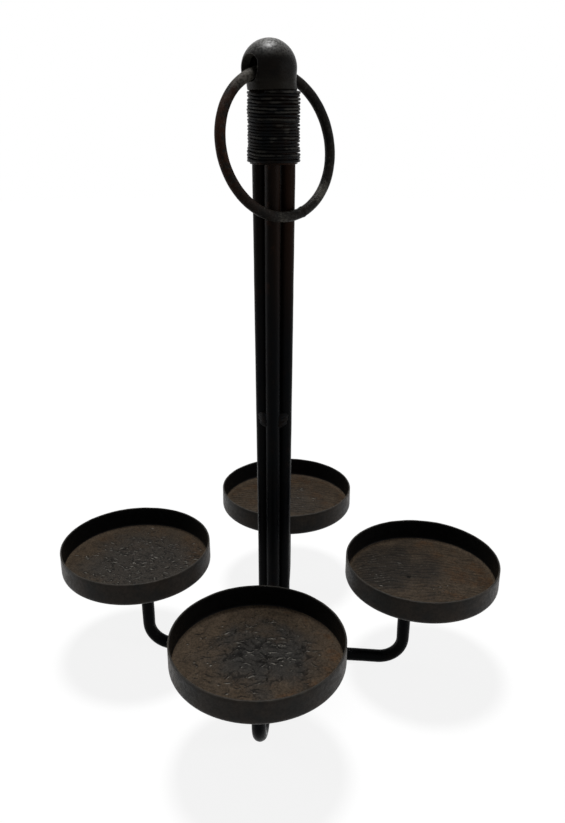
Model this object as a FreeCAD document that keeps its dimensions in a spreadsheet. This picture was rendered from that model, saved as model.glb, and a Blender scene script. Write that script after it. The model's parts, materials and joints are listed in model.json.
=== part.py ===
import FreeCAD
import Part
import Sketcher
import enum
import math
import os

# Candle stand of forged iron: four bent bars make a stem, four arms on the floor and four uprights,
# each upright carries a round pan, and a ring hangs in a ball on top of the stem.
# Frame: +Z up, millimetres. The origin is on the floor, on the stem's centre line.
# The front arm points along -Y, the back arm along +Y, the left arm along -X and the right arm along +X.

# Driving dimensions, in millimetres and degrees
SIZES = {
    # bars
    "rod_d": 8.0,               # round bar of all four rods
    "rod_gap": 0.1,             # room between neighbouring legs at the foot
    "rod_bend_r": 15.0,         # both bends of a rod, on its centre line
    "arm_reach": 81.5,          # stem's centre line to an upright's centre line
    "leg_part_z": 87.0,         # height where the legs, side by side below, begin to part
    "leg_part_r": 3000.0,       # gentle bend of a leg at that height
    # pans
    "pan_base_z": 63.5,         # underside of the pans above the floor
    "pan_d": 91.5,              # outside diameter
    "pan_depth": 15.0,          # underside to rim
    "pan_sheet": 1.0,           # sheet thickness
    "pan_corner_r": 3.0,        # outside radius between floor and wall
    "front_pan_out": 1.6,       # how far each pan's centre lies beyond its upright
    "back_pan_out": 6.1,
    "left_pan_out": 4.8,
    "right_pan_out": 8.1,
    # welds
    "weld_gap": 0.05,           # room between a weld bead and the round bar that it holds
    "pan_weld_leg": 2.6,        # height and width of the bead under a pan
    "tack_z": 166.3,            # middle of the beads half way up the stem
    "tack_length": 9.2,
    "tack_r": 2.4,              # half the width of a bead
    "tack_out": 2.2,            # middle of a bead, out from the line between two legs' centres
    # head of the stem
    "neck_z": 337.0,            # underside of the ball's neck, where ferrule, legs and shank end
    "head_gap": 0.1,            # room round and above the legs' ends
    "shank_d": 6.0,             # pin under the ball that wedges the legs apart
    "shank_length": 33.0,
    "ferrule_wall": 0.6,
    "ferrule_length": 33.8,
    "ball_d": 27.3,
    "ball_rise": 9.8,           # ball's centre above the neck's underside
    "ball_out": 2.2,            # how far the ball sits off the stem's centre line, to the left
    "neck_d": 23.6,
    "hole_d": 12.0,             # cross hole for the ring
    "hole_azimuth": 45.0,       # direction of the cross hole, from +X towards +Y
    "hole_lip_r": 0.5,          # rounding of the hole's two lips
    # wire binding
    "wire_d": 1.05,
    "wire_turns": 21,
    "wire_gap": 0.05,           # room between the wire and the ferrule
    "wire_lip": 0.9,            # how much of the ferrule shows under the binding
    # ring
    "ring_r": 34.5,             # centre line of the ring's bar
    "ring_bar_d": 5.4,
    "ring_hole_gap": 0.3,       # room between the ring and the lips of its hole
    "ring_rest_gap": 0.45,      # room between the hanging ring and the legs
    "ring_weld_angle": 6.0,     # stretch of the ring that its butt weld takes
    "ring_weld_at": 18.0,       # weld's middle, from the ring's lowest point
    "ring_weld_proud": 0.3,     # how far the weld stands out round the bar
}

# Directions of the four arms, from +X towards +Y
ARMS = {"front": 270.0, "back": 90.0, "left": 180.0, "right": 0.0}
FULL_TURN = 360.0
QUARTER_TURN = FULL_TURN / 4
GROOVE_TURN = QUARTER_TURN / 2  # from a leg to the groove between it and the next leg
WAY_DIGITS = 12                 # keeps the arms exactly along the axes

doc = FreeCAD.newDocument("CandleStand")
sheet = doc.addObject("Spreadsheet::Sheet", "Sizes")
for row, (alias, number) in enumerate(SIZES.items(), start=1):
    sheet.set(f"A{row}", alias)
    sheet.set(f"B{row}", str(number))
    sheet.setAlias(f"B{row}", alias)
doc.recompute()


class Mark(enum.IntEnum):
    """A sketch's own numbers for the points of an edge."""

    START = 1
    END = 2
    CENTRE = 3


class Axis(enum.IntEnum):
    """A sketch's own numbers for its axes, which both start at the origin."""

    X = -1
    Y = -2


class Term:
    """A length or angle that carries both its number and the sheet expression that gives it."""

    def __init__(self, value, text):
        self.value = value
        self.text = text

    def join(self, sign, other, value):
        return Term(value, f"({self.text} {sign} {other.text})")

    def __add__(self, other):
        other = term(other)
        return self.join("+", other, self.value + other.value)

    def __sub__(self, other):
        other = term(other)
        return self.join("-", other, self.value - other.value)

    def __mul__(self, other):
        other = term(other)
        return self.join("*", other, self.value * other.value)

    def __truediv__(self, other):
        other = term(other)
        return self.join("/", other, self.value / other.value)

    def root(self):
        return Term(math.sqrt(self.value), f"sqrt({self.text})")


def term(number):
    return number if isinstance(number, Term) else Term(float(number), repr(float(number)))


def size(alias):
    return Term(float(sheet.get(alias)), f"Sizes.{alias}")


def bind(thing, **settings):
    """Binds properties of an object to sheet expressions."""
    for name, value in settings.items():
        thing.setExpression(name.replace("__", "."), term(value).text)


def way(azimuth):
    """X and Y of a step of one along a direction in the floor's plane."""
    angle = math.radians(azimuth)
    return round(math.cos(angle), WAY_DIGITS), round(math.sin(angle), WAY_DIGITS)


def turn_about_z(azimuth):
    return FreeCAD.Rotation(FreeCAD.Vector(0, 0, 1), azimuth)


def new_body(label):
    body = doc.addObject("PartDesign::Body", label)
    body.Label = label
    return body


def new_sketch(body, name, role, lift=None):
    """A sketch on one of the body's own origin planes, raised along the plane's normal if asked."""
    sketch = body.newObject("Sketcher::SketchObject", name)
    plane = next(item for item in body.Origin.OriginFeatures if item.Role == role)
    sketch.AttachmentSupport = (plane, [""])
    sketch.MapMode = "FlatFace"
    if lift is not None:
        sketch.setExpression("AttachmentOffset.Base.z", lift.text)
    return sketch


def set_size(sketch, constraint, value):
    index = sketch.addConstraint(constraint)
    sketch.setExpression(f"Constraints[{index}]", value.text)


def arc_between(start, end, radius):
    """The arc under a half circle from start to end that turns left, as the sketch stores it."""
    chord = end - start
    middle = (start + end) * 0.5
    left = FreeCAD.Vector(-chord.y, chord.x, 0).normalize()
    centre = middle + left * math.sqrt(max(radius ** 2 - (chord.Length / 2) ** 2, 0.0))
    circle = Part.Circle(centre, FreeCAD.Vector(0, 0, 1), radius)
    angles = [math.atan2(point.y - centre.y, point.x - centre.x) for point in (start, end)]
    return Part.ArcOfCircle(circle, angles[0], angles[1])


def pin(sketch, spot, across, up):
    """Holds a point of a sketch at bound distances from the origin, or on an axis where one is zero."""
    for name, axis, value in (("DistanceX", Axis.Y, across), ("DistanceY", Axis.X, up)):
        if isinstance(value, Term):
            set_size(sketch, Sketcher.Constraint(name, Axis.X, Mark.START, *spot, value.value), value)
        else:
            sketch.addConstraint(Sketcher.Constraint("PointOnObject", *spot, axis))


def draw_circle(sketch, across, up, radius):
    centre = FreeCAD.Vector(term(across).value, term(up).value, 0)
    circle = sketch.addGeometry(Part.Circle(centre, FreeCAD.Vector(0, 0, 1), radius.value))
    pin(sketch, (circle, Mark.CENTRE), across, up)
    set_size(sketch, Sketcher.Constraint("Radius", circle, radius.value), radius)


def left_turn(radius):
    return "left", radius


def right_turn(radius):
    return "right", radius


def draw(sketch, corners, closed):
    """Draws runs through corners, each (x, y) or (x, y, turn): after a turn, the run that leaves is an arc.

    A turn is left_turn(radius) or right_turn(radius). All corners lie at x >= 0 and y >= 0.
    """
    points = [FreeCAD.Vector(term(corner[0]).value, term(corner[1]).value, 0) for corner in corners]
    count = len(corners) if closed else len(corners) - 1
    runs = []
    for index in range(count):
        start = points[index]
        end = points[(index + 1) % len(points)]
        if len(corners[index]) == 2:
            run = sketch.addGeometry(Part.LineSegment(start, end), False)
            runs.append(((run, Mark.START), (run, Mark.END)))
            continue
        side, radius = corners[index][2]
        if side == "left":
            run = sketch.addGeometry(arc_between(start, end, radius.value), False)
            runs.append(((run, Mark.START), (run, Mark.END)))
        else:
            run = sketch.addGeometry(arc_between(end, start, radius.value), False)
            runs.append(((run, Mark.END), (run, Mark.START)))
        set_size(sketch, Sketcher.Constraint("Radius", run, radius.value), radius)
    for index in range(count if closed else count - 1):
        leave = runs[index][1]
        enter = runs[(index + 1) % count][0]
        sketch.addConstraint(Sketcher.Constraint("Coincident", *leave, *enter))
    spots = [first for first, last in runs]
    if not closed:
        spots.append(runs[-1][1])
    for corner, spot in zip(corners, spots):
        pin(sketch, spot, corner[0], corner[1])


def revolve(body, sketch):
    feature = body.newObject("PartDesign::Revolution", "Turned")
    feature.Profile = sketch
    feature.ReferenceAxis = (sketch, ["V_Axis"])
    feature.Angle = FULL_TURN
    return feature


def place(thing, azimuth, reach, height):
    """Sets an object out from the stem's centre line along a direction, and up from the floor."""
    x, y = way(azimuth)
    bind(thing, Placement__Base__x=reach * x, Placement__Base__y=reach * y, Placement__Base__z=height)


# Derived places on the legs
rod_r = size("rod_d") / 2
leg_foot = (size("rod_d") + size("rod_gap")) / math.sqrt(2)
shank_end_z = size("neck_z") - size("shank_length")
leg_at_shank = size("shank_d") / 2 + rod_r + size("head_gap")
leg_slope = (leg_at_shank - leg_foot) / (shank_end_z - size("leg_part_z"))
leg_slant = (leg_slope * leg_slope + 1).root()
leg_top_z = size("neck_z") - size("head_gap")


def leg_out(height):
    """Distance of a leg's centre line from the stem's centre line, at a height above the parting."""
    return leg_foot + leg_slope * (height - size("leg_part_z"))


def make_rod(name, azimuth):
    """One bar: upright under the pan, arm on the floor and leg of the stem, leaning out at the parting."""
    body = new_body(name)
    bend = size("rod_bend_r")
    reach = size("arm_reach")
    ease = size("leg_part_r") * leg_slope / (leg_slant + 1)
    eased_z = size("leg_part_z") + ease / leg_slant
    route = new_sketch(body, "Route", "XZ_Plane")
    draw(route, [
        (reach, size("pan_base_z")),
        (reach, rod_r + bend, right_turn(bend)),
        (reach - bend, rod_r),
        (leg_foot + bend, rod_r, right_turn(bend)),
        (leg_foot, rod_r + bend),
        (leg_foot, size("leg_part_z") - ease, right_turn(size("leg_part_r"))),
        (leg_out(eased_z), eased_z),
        (leg_out(leg_top_z), leg_top_z),
    ], closed=False)
    section = new_sketch(body, "Section", "XY_Plane", size("pan_base_z"))
    draw_circle(section, reach, 0, rod_r)
    doc.recompute()
    bar = body.newObject("PartDesign::AdditivePipe", "Bar")
    bar.Profile = section
    bar.Spine = (route, [f"Edge{number}" for number in range(1, len(route.Shape.Edges) + 1)])
    body.Placement.Rotation = turn_about_z(azimuth)
    return body


def make_pan(name, azimuth, out):
    """A stamped pan: flat floor, rounded corner and an upright wall, turned about its own axis."""
    body = new_body(name)
    outer = size("pan_d") / 2
    sheet_t = size("pan_sheet")
    corner = size("pan_corner_r")
    depth = size("pan_depth")
    section = new_sketch(body, "Section", "XZ_Plane")
    draw(section, [
        (0, 0),
        (outer - corner, 0, left_turn(corner)),
        (outer, corner),
        (outer, depth),
        (outer - sheet_t, depth),
        (outer - sheet_t, corner, right_turn(corner - sheet_t)),
        (outer - corner, sheet_t),
        (0, sheet_t),
    ], closed=True)
    revolve(body, section)
    place(body, azimuth, size("arm_reach") + out, size("pan_base_z"))
    return body


def make_pan_weld(name, azimuth):
    """The round bead under a pan, about the top of its upright."""
    body = new_body(name)
    leg = size("pan_weld_leg")
    inner = rod_r + size("weld_gap")
    section = new_sketch(body, "Section", "XZ_Plane")
    draw(section, [
        (inner, 0, left_turn(leg)),
        (inner + leg, leg),
        (inner, leg),
    ], closed=True)
    revolve(body, section)
    place(body, azimuth, size("arm_reach"), size("pan_base_z") - leg)
    return body


def make_tack_welds(name):
    """Beads in the four grooves between neighbouring legs, cut to the legs' round sides."""
    reach = leg_out(size("tack_z")) / math.sqrt(2) + size("tack_out")
    room_low_z = size("tack_z") - size("tack_length")
    lean = FreeCAD.Rotation(FreeCAD.Vector(0, 1, 0), math.degrees(math.atan(leg_slope.value)))
    beads = []
    legs = []
    for azimuth in ARMS.values():
        bead = doc.addObject("Part::Ellipsoid", "Bead")
        bind(bead, Radius1=size("tack_length") / 2, Radius2=size("tack_r"), Radius3=size("tack_r"))
        place(bead, azimuth + GROOVE_TURN, reach, size("tack_z"))
        bead.Placement.Rotation = turn_about_z(azimuth + GROOVE_TURN)
        beads.append(bead)
        leg = doc.addObject("Part::Cylinder", "LegRoom")
        bind(leg, Radius=rod_r + size("weld_gap"), Height=size("tack_length") * 2)
        place(leg, azimuth, leg_out(room_low_z), room_low_z)
        leg.Placement.Rotation = turn_about_z(azimuth).multiply(lean)
        legs.append(leg)
    blank = doc.addObject("Part::MultiFuse", "Beads")
    blank.Shapes = beads
    room = doc.addObject("Part::MultiFuse", "LegsRoom")
    room.Shapes = legs
    welds = doc.addObject("Part::Cut", name)
    welds.Label = name
    welds.Base = blank
    welds.Tool = room
    return welds


ferrule_in = leg_out(leg_top_z) + rod_r + size("head_gap")
ferrule_out = ferrule_in + size("ferrule_wall")
ferrule_low_z = size("neck_z") - size("ferrule_length")


def make_ferrule(name):
    """The sleeve round the tops of the four legs."""
    body = new_body(name)
    length = size("ferrule_length")
    section = new_sketch(body, "Section", "XZ_Plane")
    draw(section, [
        (ferrule_in, 0),
        (ferrule_out, 0),
        (ferrule_out, length),
        (ferrule_in, length),
    ], closed=True)
    revolve(body, section)
    bind(body, Placement__Base__z=ferrule_low_z)
    return body


def make_shank(name):
    """The pin under the ball, between the four legs."""
    pin = doc.addObject("Part::Cylinder", name)
    pin.Label = name
    bind(pin, Radius=size("shank_d") / 2, Height=size("shank_length"), Placement__Base__z=shank_end_z)
    return pin


ball_r = size("ball_d") / 2
hole_r = size("hole_d") / 2
LIP_MATCH = 1e-4  # how closely an edge's length has to match the hole's girth to be one of its lips


def make_ball(name):
    """The ball with its neck in one piece, drilled across for the ring, with rounded lips."""
    body = new_body(name)
    neck = size("neck_d") / 2
    rise = size("ball_rise")
    section = new_sketch(body, "Section", "XZ_Plane")
    draw(section, [
        (0, 0),
        (neck, 0),
        (neck, rise - (ball_r * ball_r - neck * neck).root(), left_turn(ball_r)),
        (0, rise + ball_r),
    ], closed=True)
    turned = revolve(body, section)
    doc.recompute()
    drill = new_sketch(body, "Drill", "XZ_Plane")
    draw_circle(drill, 0, rise, hole_r)
    hole = body.newObject("PartDesign::Pocket", "CrossHole")
    hole.Profile = drill
    hole.Type = "ThroughAll"
    hole.Midplane = True
    doc.recompute()
    if hole.Shape.Volume > turned.Shape.Volume - math.pi * hole_r.value ** 2 * ball_r.value:
        raise RuntimeError("the cross hole doesn't go right through the ball")
    girth = 2 * math.pi * hole_r.value
    lips = []
    for number, edge in enumerate(hole.Shape.Edges, start=1):
        if edge.isClosed() and math.isclose(edge.Length, girth, rel_tol=LIP_MATCH):
            lips.append(f"Edge{number}")
    rounding = body.newObject("PartDesign::Fillet", "Lips")
    rounding.Base = (hole, lips)
    bind(rounding, Radius=size("hole_lip_r"))
    bind(body, Placement__Base__x=size("ball_out") * -1, Placement__Base__z=size("neck_z"))
    body.Placement.Rotation = turn_about_z(size("hole_azimuth").value - QUARTER_TURN)
    return body


def biarc(start, start_way, end, end_way):
    """Two arcs with one tangent where they meet, from start to end along the two directions."""
    span = end - start
    ways = start_way + end_way
    spread = 2 * (1 - start_way.dot(end_way))
    reach = (-span.dot(ways) + math.sqrt(span.dot(ways) ** 2 + spread * span.dot(span))) / spread
    knees = [start + start_way * reach, end - end_way * reach]
    joint = (knees[0] + knees[1]) * 0.5
    edges = []
    for first, knee, last in ((start, knees[0], joint), (joint, knees[1], end)):
        middle = (first + last) * 0.5
        height = (knee - middle).Length
        half = (last - first).Length / 2
        sagitta = half * math.tan(math.atan2(height, half) / 2)
        crest = middle + (knee - middle).normalize() * sagitta
        edges.append(Part.Arc(first, crest, last).toShape())
    return edges


VOLUME_MATCH = 0.01  # how closely the wire's volume has to match its section times its length
GAP_STEPS = 24       # points on a turn, for the wire's least gap to itself


def make_binding(name):
    """One length of wire wound round the ferrule, with short straight ends."""
    wire = size("wire_d").value
    turns = int(size("wire_turns").value)
    low = (ferrule_low_z + size("wire_lip")).value + wire / 2
    high = (size("neck_z") - size("head_gap")).value - wire / 2
    radius = ferrule_out.value + size("wire_gap").value + wire / 2
    pitch = (high - low) / turns

    def at(turn):
        angle = turn * 2 * math.pi
        point = FreeCAD.Vector(radius * math.cos(angle), radius * math.sin(angle), low + pitch * turn)
        way = FreeCAD.Vector(-math.sin(angle), math.cos(angle), pitch / (2 * math.pi * radius))
        return point, way.normalize()

    halves = [at(number / 2) for number in range(2 * turns + 1)]
    first, first_way = halves[0]
    last, last_way = halves[-1]
    tail = first - first_way * wire
    tip = last + last_way * wire
    edges = [Part.LineSegment(tail, first).toShape()]
    for (start, start_way), (end, end_way) in zip(halves, halves[1:]):
        edges += biarc(start, start_way, end, end_way)
    edges.append(Part.LineSegment(last, tip).toShape())
    route = Part.Wire(edges)
    section = Part.Wire([Part.Circle(tail, first_way, wire / 2).toShape()])
    binding = doc.addObject("Part::Feature", name)
    binding.Label = name
    binding.Shape = route.makePipeShell([section], True, False)
    expected = math.pi * (wire / 2) ** 2 * route.Length
    if abs(binding.Shape.Volume - expected) > expected * VOLUME_MATCH:
        raise RuntimeError("the binding's volume isn't its section times its length")
    points = [at(number / GAP_STEPS)[0] for number in range(turns * GAP_STEPS + 1)]
    points = [tail] + points + [tip]
    nearest = min(
        points[index].distanceToPoint(other)
        for index in range(len(points))
        for other in points[index + GAP_STEPS // 2:]
    )
    print(f"wire binding: {turns} turns, pitch {pitch:.3f}, least gap to itself {nearest - wire:.3f} mm")
    return binding


# The ring hangs on the lips of its hole and leans on the legs
bar_r = size("ring_bar_d") / 2
ring_inner = size("ring_r") - bar_r
lip_out = (ball_r * ball_r - hole_r * hole_r).root() - size("hole_lip_r")
ring_drop = (ring_inner * ring_inner - lip_out * lip_out).root() + hole_r - size("ring_hole_gap")
hole_z = size("neck_z") + size("ball_rise")
ring_low_z = hole_z - ring_drop - size("ring_r")
outward_x, outward_y = way(size("hole_azimuth").value - QUARTER_TURN)
legs_out = leg_out(ring_low_z) * max(abs(outward_x), abs(outward_y)) + rod_r
ring_rest_out = legs_out + size("ring_rest_gap") + bar_r
ring_hinge = FreeCAD.Vector(-size("ball_out").value, 0, hole_z.value)


def ring_ways():
    """Direction of the cross hole, and the way down the ring from it, leaning on the legs."""
    outward = FreeCAD.Vector(outward_x, outward_y, 0)
    along = FreeCAD.Vector(-outward_y, outward_x, 0)
    lean_sine = (ring_rest_out.value - ring_hinge.dot(outward)) / (ring_drop + size("ring_r")).value
    down = outward * lean_sine - FreeCAD.Vector(0, 0, math.sqrt(1 - lean_sine ** 2))
    return along, down


def make_ring_stretch(name, bar, start, sweep):
    """A stretch of the ring's bar, from an angle past the ring's lowest point."""
    along, down = ring_ways()
    stretch = doc.addObject("Part::Torus", name)
    stretch.Label = name
    bind(stretch, Radius1=size("ring_r"), Radius2=bar, Angle3=sweep)
    lying = FreeCAD.Rotation(down, along, down.cross(along), "XYZ")
    centre = ring_hinge + down * ring_drop.value
    stretch.Placement = FreeCAD.Placement(centre, lying.multiply(turn_about_z(start.value)))
    return stretch


def make_ring(name, weld_name):
    """The ring and the butt weld that closes it."""
    weld = size("ring_weld_angle")
    weld_start = size("ring_weld_at") - weld / 2
    ring = make_ring_stretch(name, bar_r, weld_start + weld, term(FULL_TURN) - weld)
    bead = make_ring_stretch(weld_name, bar_r + size("ring_weld_proud"), weld_start, weld)
    return [ring, bead]


pieces = []
for arm, azimuth in ARMS.items():
    pieces.append(make_rod(f"{arm}_rod", azimuth))
    pieces.append(make_pan(f"{arm}_pan", azimuth, size(f"{arm}_pan_out")))
    pieces.append(make_pan_weld(f"{arm}_pan_weld", azimuth))
pieces.append(make_tack_welds("stem_tack_welds"))
pieces.append(make_ferrule("stem_ferrule"))
pieces.append(make_binding("wire_binding"))
pieces.append(make_ball("ball_finial"))
pieces.append(make_shank("finial_shank"))
pieces += make_ring("hanging_ring", "ring_weld")
doc.recompute()

for item in doc.Objects:
    if "Invalid" in item.State or "Error" in item.State:
        raise RuntimeError(f"{item.Label} failed: {item.State}")
for piece in pieces:
    if piece.Shape.isNull() or not piece.Shape.isValid() or not piece.Shape.Solids:
        raise RuntimeError(f"{piece.Label} has no valid solid")

os.makedirs("parts", exist_ok=True)
for piece in pieces:
    piece.Shape.exportStep(f"parts/{piece.Label}.step")
    box = piece.Shape.optimalBoundingBox()
    print(f"{piece.Label}: {len(piece.Shape.Solids)} solids, {piece.Shape.Volume:.0f} mm3, "
          f"z {box.ZMin:.2f} to {box.ZMax:.2f}")
lean = math.degrees(ring_ways()[1].getAngle(FreeCAD.Vector(0, 0, -1)))
print(f"ring hinge at {tuple(ring_hinge)}, {ring_drop.value:.3f} mm above the ring's centre, "
      f"which leans {lean:.3f} degrees at rest")
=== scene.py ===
# %% [markdown]
# # An iron candle stand, dressed in Blender
#
# The real thing is a table stand for four pillar candles: four round bars bent into legs, arms and
# uprights, four shallow pans, and a ball with a loose ring on top. Its true size and its motion come
# from a CAD model. This notebook gives that model its surfaces. Every piece is built in metres in the
# CAD model's own frame, so nothing is fitted by eye. The frame is loaded first, and each piece's sizes
# are read from its CAD node. Dressing the stand may not make it any larger.

# %% Load the frame
import json
import math

import bmesh
import bpy
import numpy as np
from mathutils import Matrix, Vector, noise


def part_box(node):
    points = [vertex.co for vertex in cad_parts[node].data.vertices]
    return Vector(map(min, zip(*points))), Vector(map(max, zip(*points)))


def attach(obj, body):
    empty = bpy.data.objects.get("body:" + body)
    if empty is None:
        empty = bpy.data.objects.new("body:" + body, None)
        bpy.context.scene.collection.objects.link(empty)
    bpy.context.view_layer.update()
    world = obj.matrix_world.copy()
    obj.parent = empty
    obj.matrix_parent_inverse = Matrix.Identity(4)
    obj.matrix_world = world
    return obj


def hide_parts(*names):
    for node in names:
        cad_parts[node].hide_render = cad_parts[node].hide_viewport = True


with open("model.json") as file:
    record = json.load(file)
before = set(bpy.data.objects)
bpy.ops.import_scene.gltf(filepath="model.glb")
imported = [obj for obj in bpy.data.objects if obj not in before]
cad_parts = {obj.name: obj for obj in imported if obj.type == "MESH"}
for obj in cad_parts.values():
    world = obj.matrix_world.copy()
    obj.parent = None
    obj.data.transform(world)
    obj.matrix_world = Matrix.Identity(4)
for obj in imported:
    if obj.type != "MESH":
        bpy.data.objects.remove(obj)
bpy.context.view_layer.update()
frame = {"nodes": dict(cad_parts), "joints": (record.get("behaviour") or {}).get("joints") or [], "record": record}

MM = 0.001
scene = bpy.context.scene


# %% [markdown]
# ## The camera
#
# The photograph was taken from in front, a little to the right and just under the ball's height, with
# the lens pointing down at the pans. Such a view could be set by hand with the viewport, but then it
# can't be repeated. Here the place and the three turns are named numbers: Blender's camera looks along
# its own -Z, so it is first tipped up from the floor, then turned about the vertical. The picture is
# upright, so the sensor's 36 mm lie along its longer side.

# %% Camera
CAMERA_AT = Vector((40.7, -396.0, 325.1)) * MM
CAMERA_HEADING = 5.17   # degrees, to the left of straight ahead
CAMERA_DIP = 21.37      # degrees below the horizon
CAMERA_ROLL = 0.2       # degrees
PHOTO_HEIGHT = 823      # pixels
FOCAL_PIXELS = 752.6
SENSOR = 36.0           # mm


def turned(degrees, axis):
    return Matrix.Rotation(math.radians(degrees), 4, axis)


camera_data = bpy.data.cameras.new("photo_camera")
camera_data.sensor_width = SENSOR
camera_data.lens = SENSOR * FOCAL_PIXELS / PHOTO_HEIGHT
camera = bpy.data.objects.new("photo_camera", camera_data)
camera.matrix_world = (
    Matrix.Translation(CAMERA_AT)
    @ turned(CAMERA_HEADING, "Z")
    @ turned(90 - CAMERA_DIP, "X")
    @ turned(CAMERA_ROLL, "Z")
)
scene.collection.objects.link(camera)
scene.camera = camera
scene.view_settings.view_transform = "Standard"
print(f"lens {camera_data.lens:.2f} mm")

# %% [markdown]
# ## Talking to node trees
#
# Materials below are built from nodes. They could be wired by hand in the Shader Editor, but a script
# has to make them, and in code each node and each link is a line of its own. Two helpers keep that
# readable: one feeds a socket from either a number or another socket, and one makes a node and feeds
# its inputs.

# %% Nodes and sockets
def feed(tree, socket, source):
    """Links a source socket to an input, or sets the input's own value."""
    if isinstance(source, bpy.types.NodeSocket):
        tree.links.new(source, socket)
    else:
        socket.default_value = source


def node(tree, kind, inputs=None, **settings):
    made = tree.nodes.new(kind)
    for name, value in settings.items():
        setattr(made, name, value)
    for name, source in (inputs or {}).items():
        feed(tree, made.inputs[name], source)
    return made


print("node helpers:", feed.__name__, node.__name__)

# %% [markdown]
# ### Sums, mixes and steps
#
# Most of the nodes are of three kinds: Math, Mix and Map Range. Each gets a short helper that hands
# back the one socket that matters. The Mix node has sockets of the same name for numbers, vectors and
# colours, so those for colours are told apart by their places in the list.

# %% Sums, mixes and steps
MIX_SHARE, MIX_FIRST, MIX_SECOND, MIX_RESULT = 0, 6, 7, 2   # the Mix node's sockets for colours


def maths(tree, operation, first, second=0.0, clamp=False):
    made = node(tree, "ShaderNodeMath", {0: first, 1: second}, operation=operation, use_clamp=clamp)
    return made.outputs[0]


def share_of(tree, value, share, start=0.0):
    """start plus a share of a value."""
    scaled = maths(tree, "MULTIPLY", value, share)
    return maths(tree, "ADD", scaled, start) if start else scaled


def mix(tree, share, first, second):
    """A colour that goes from first to second as share goes from 0 to 1."""
    inputs = {MIX_SHARE: share, MIX_FIRST: first, MIX_SECOND: second}
    return node(tree, "ShaderNodeMix", inputs, data_type="RGBA").outputs[MIX_RESULT]


def step_between(tree, value, low, high):
    """0 below low, 1 above high and a soft step between them."""
    inputs = {"Value": value, "From Min": low, "From Max": high}
    return node(tree, "ShaderNodeMapRange", inputs, interpolation_type="SMOOTHSTEP").outputs[0]


print("shorter helpers:", [helper.__name__ for helper in (maths, share_of, mix, step_between)])

# %% [markdown]
# ## The room
#
# Black iron shows its form by what it mirrors, and here that is a white backdrop. A bright world would
# give one, but it would also throw more light on the iron. So the Light Path node tells rays apart:
# what the camera sees, and what metal mirrors, is white, while rays that carry light about find a dim
# room.

# %% Room
WHITE = (1, 1, 1, 1)
ROOM_LIGHT, BACKDROP_LIGHT = 0.05, 1.0


def empty_tree(owner):
    """The node tree of a world or a material, cleared for new nodes."""
    owner.use_nodes = True
    owner.node_tree.nodes.clear()
    return owner.node_tree


def shown_white(tree):
    """1 for rays from the camera, mirrored or passed on, which see the white backdrop."""
    path = node(tree, "ShaderNodeLightPath").outputs
    straight = maths(tree, "ADD", path["Is Camera Ray"], path["Is Glossy Ray"])
    return maths(tree, "ADD", straight, path["Is Transmission Ray"], clamp=True)


def lit_or_shown(tree, lit, shown):
    """One shader for rays that carry light about, and one for rays that see the backdrop."""
    inputs = {0: shown_white(tree), 1: lit.outputs[0], 2: shown.outputs[0]}
    return node(tree, "ShaderNodeMixShader", inputs).outputs[0]


world = bpy.data.worlds.new("studio_room")
scene.world = world
tree = empty_tree(world)
room = node(tree, "ShaderNodeBackground", {"Color": WHITE, "Strength": ROOM_LIGHT})
backdrop = node(tree, "ShaderNodeBackground", {"Color": WHITE, "Strength": BACKDROP_LIGHT})
node(tree, "ShaderNodeOutputWorld", {"Surface": lit_or_shown(tree, room, backdrop)})
print(f"a room of {ROOM_LIGHT} round a backdrop of {BACKDROP_LIGHT}")

# %% [markdown]
# ## The floor
#
# A wide pale disc carries the stand, and it works as the room does: light that bounces finds a pale
# floor, while the camera sees a glow a little short of white. The lamps add the rest, so only the
# stand's soft shadow is missing from its white. Far from the stem, where the lamps hardly reach, the
# glow alone has to be white, so it rises with the distance.

# %% Floor
FLOOR_R = 3.0
FLOOR_SIDES = 96
FLOOR_DROP = 0.1 * MM                    # so that it stays clear of the bars
FLOOR_PALE = (0.7, 0.7, 0.69, 1)
FLOOR_LIT = (0.15, 0.15, 0.15, 1)        # the part of its white that the lamps give
GLOW_NEAR, GLOW_FAR = 0.87, 1.0
GLOW_FROM, GLOW_TO = 0.25, 1.3           # metres from the stem

floor_paint = bpy.data.materials.new("pale_floor")
tree = empty_tree(floor_paint)
spot = node(tree, "ShaderNodeTexCoord").outputs["Object"]
away = node(tree, "ShaderNodeVectorMath", {0: spot}, operation="LENGTH").outputs["Value"]
far = step_between(tree, away, GLOW_FROM, GLOW_TO)
strength = share_of(tree, far, share=GLOW_FAR - GLOW_NEAR, start=GLOW_NEAR)
glow = node(tree, "ShaderNodeEmission", {"Color": WHITE, "Strength": strength})
lit = node(tree, "ShaderNodeBsdfDiffuse", {"Color": FLOOR_LIT})
seen = node(tree, "ShaderNodeAddShader", {0: glow.outputs[0], 1: lit.outputs[0]})
pale = node(tree, "ShaderNodeBsdfDiffuse", {"Color": FLOOR_PALE})
node(tree, "ShaderNodeOutputMaterial", {"Surface": lit_or_shown(tree, pale, seen)})

bpy.ops.mesh.primitive_circle_add(
    vertices=FLOOR_SIDES, radius=FLOOR_R, fill_type="NGON", location=(0, 0, -FLOOR_DROP))
floor = bpy.context.object
floor.name = "studio_floor"
floor.data.materials.append(floor_paint)
print(f"a floor {2 * FLOOR_R:.0f} m wide")

# %% [markdown]
# ## The lamps
#
# The photograph has one strong light straight above: the ball carries a highlight on its crown, the
# pans' floors are the brightest faces and everything upright stays near black, a little lighter on its
# right. So a round softbox hangs over the stand, a larger one stands at the right and a weak one at
# the left. A lamp shines along its own -Z, which a quaternion turns towards the stand's middle.

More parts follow.
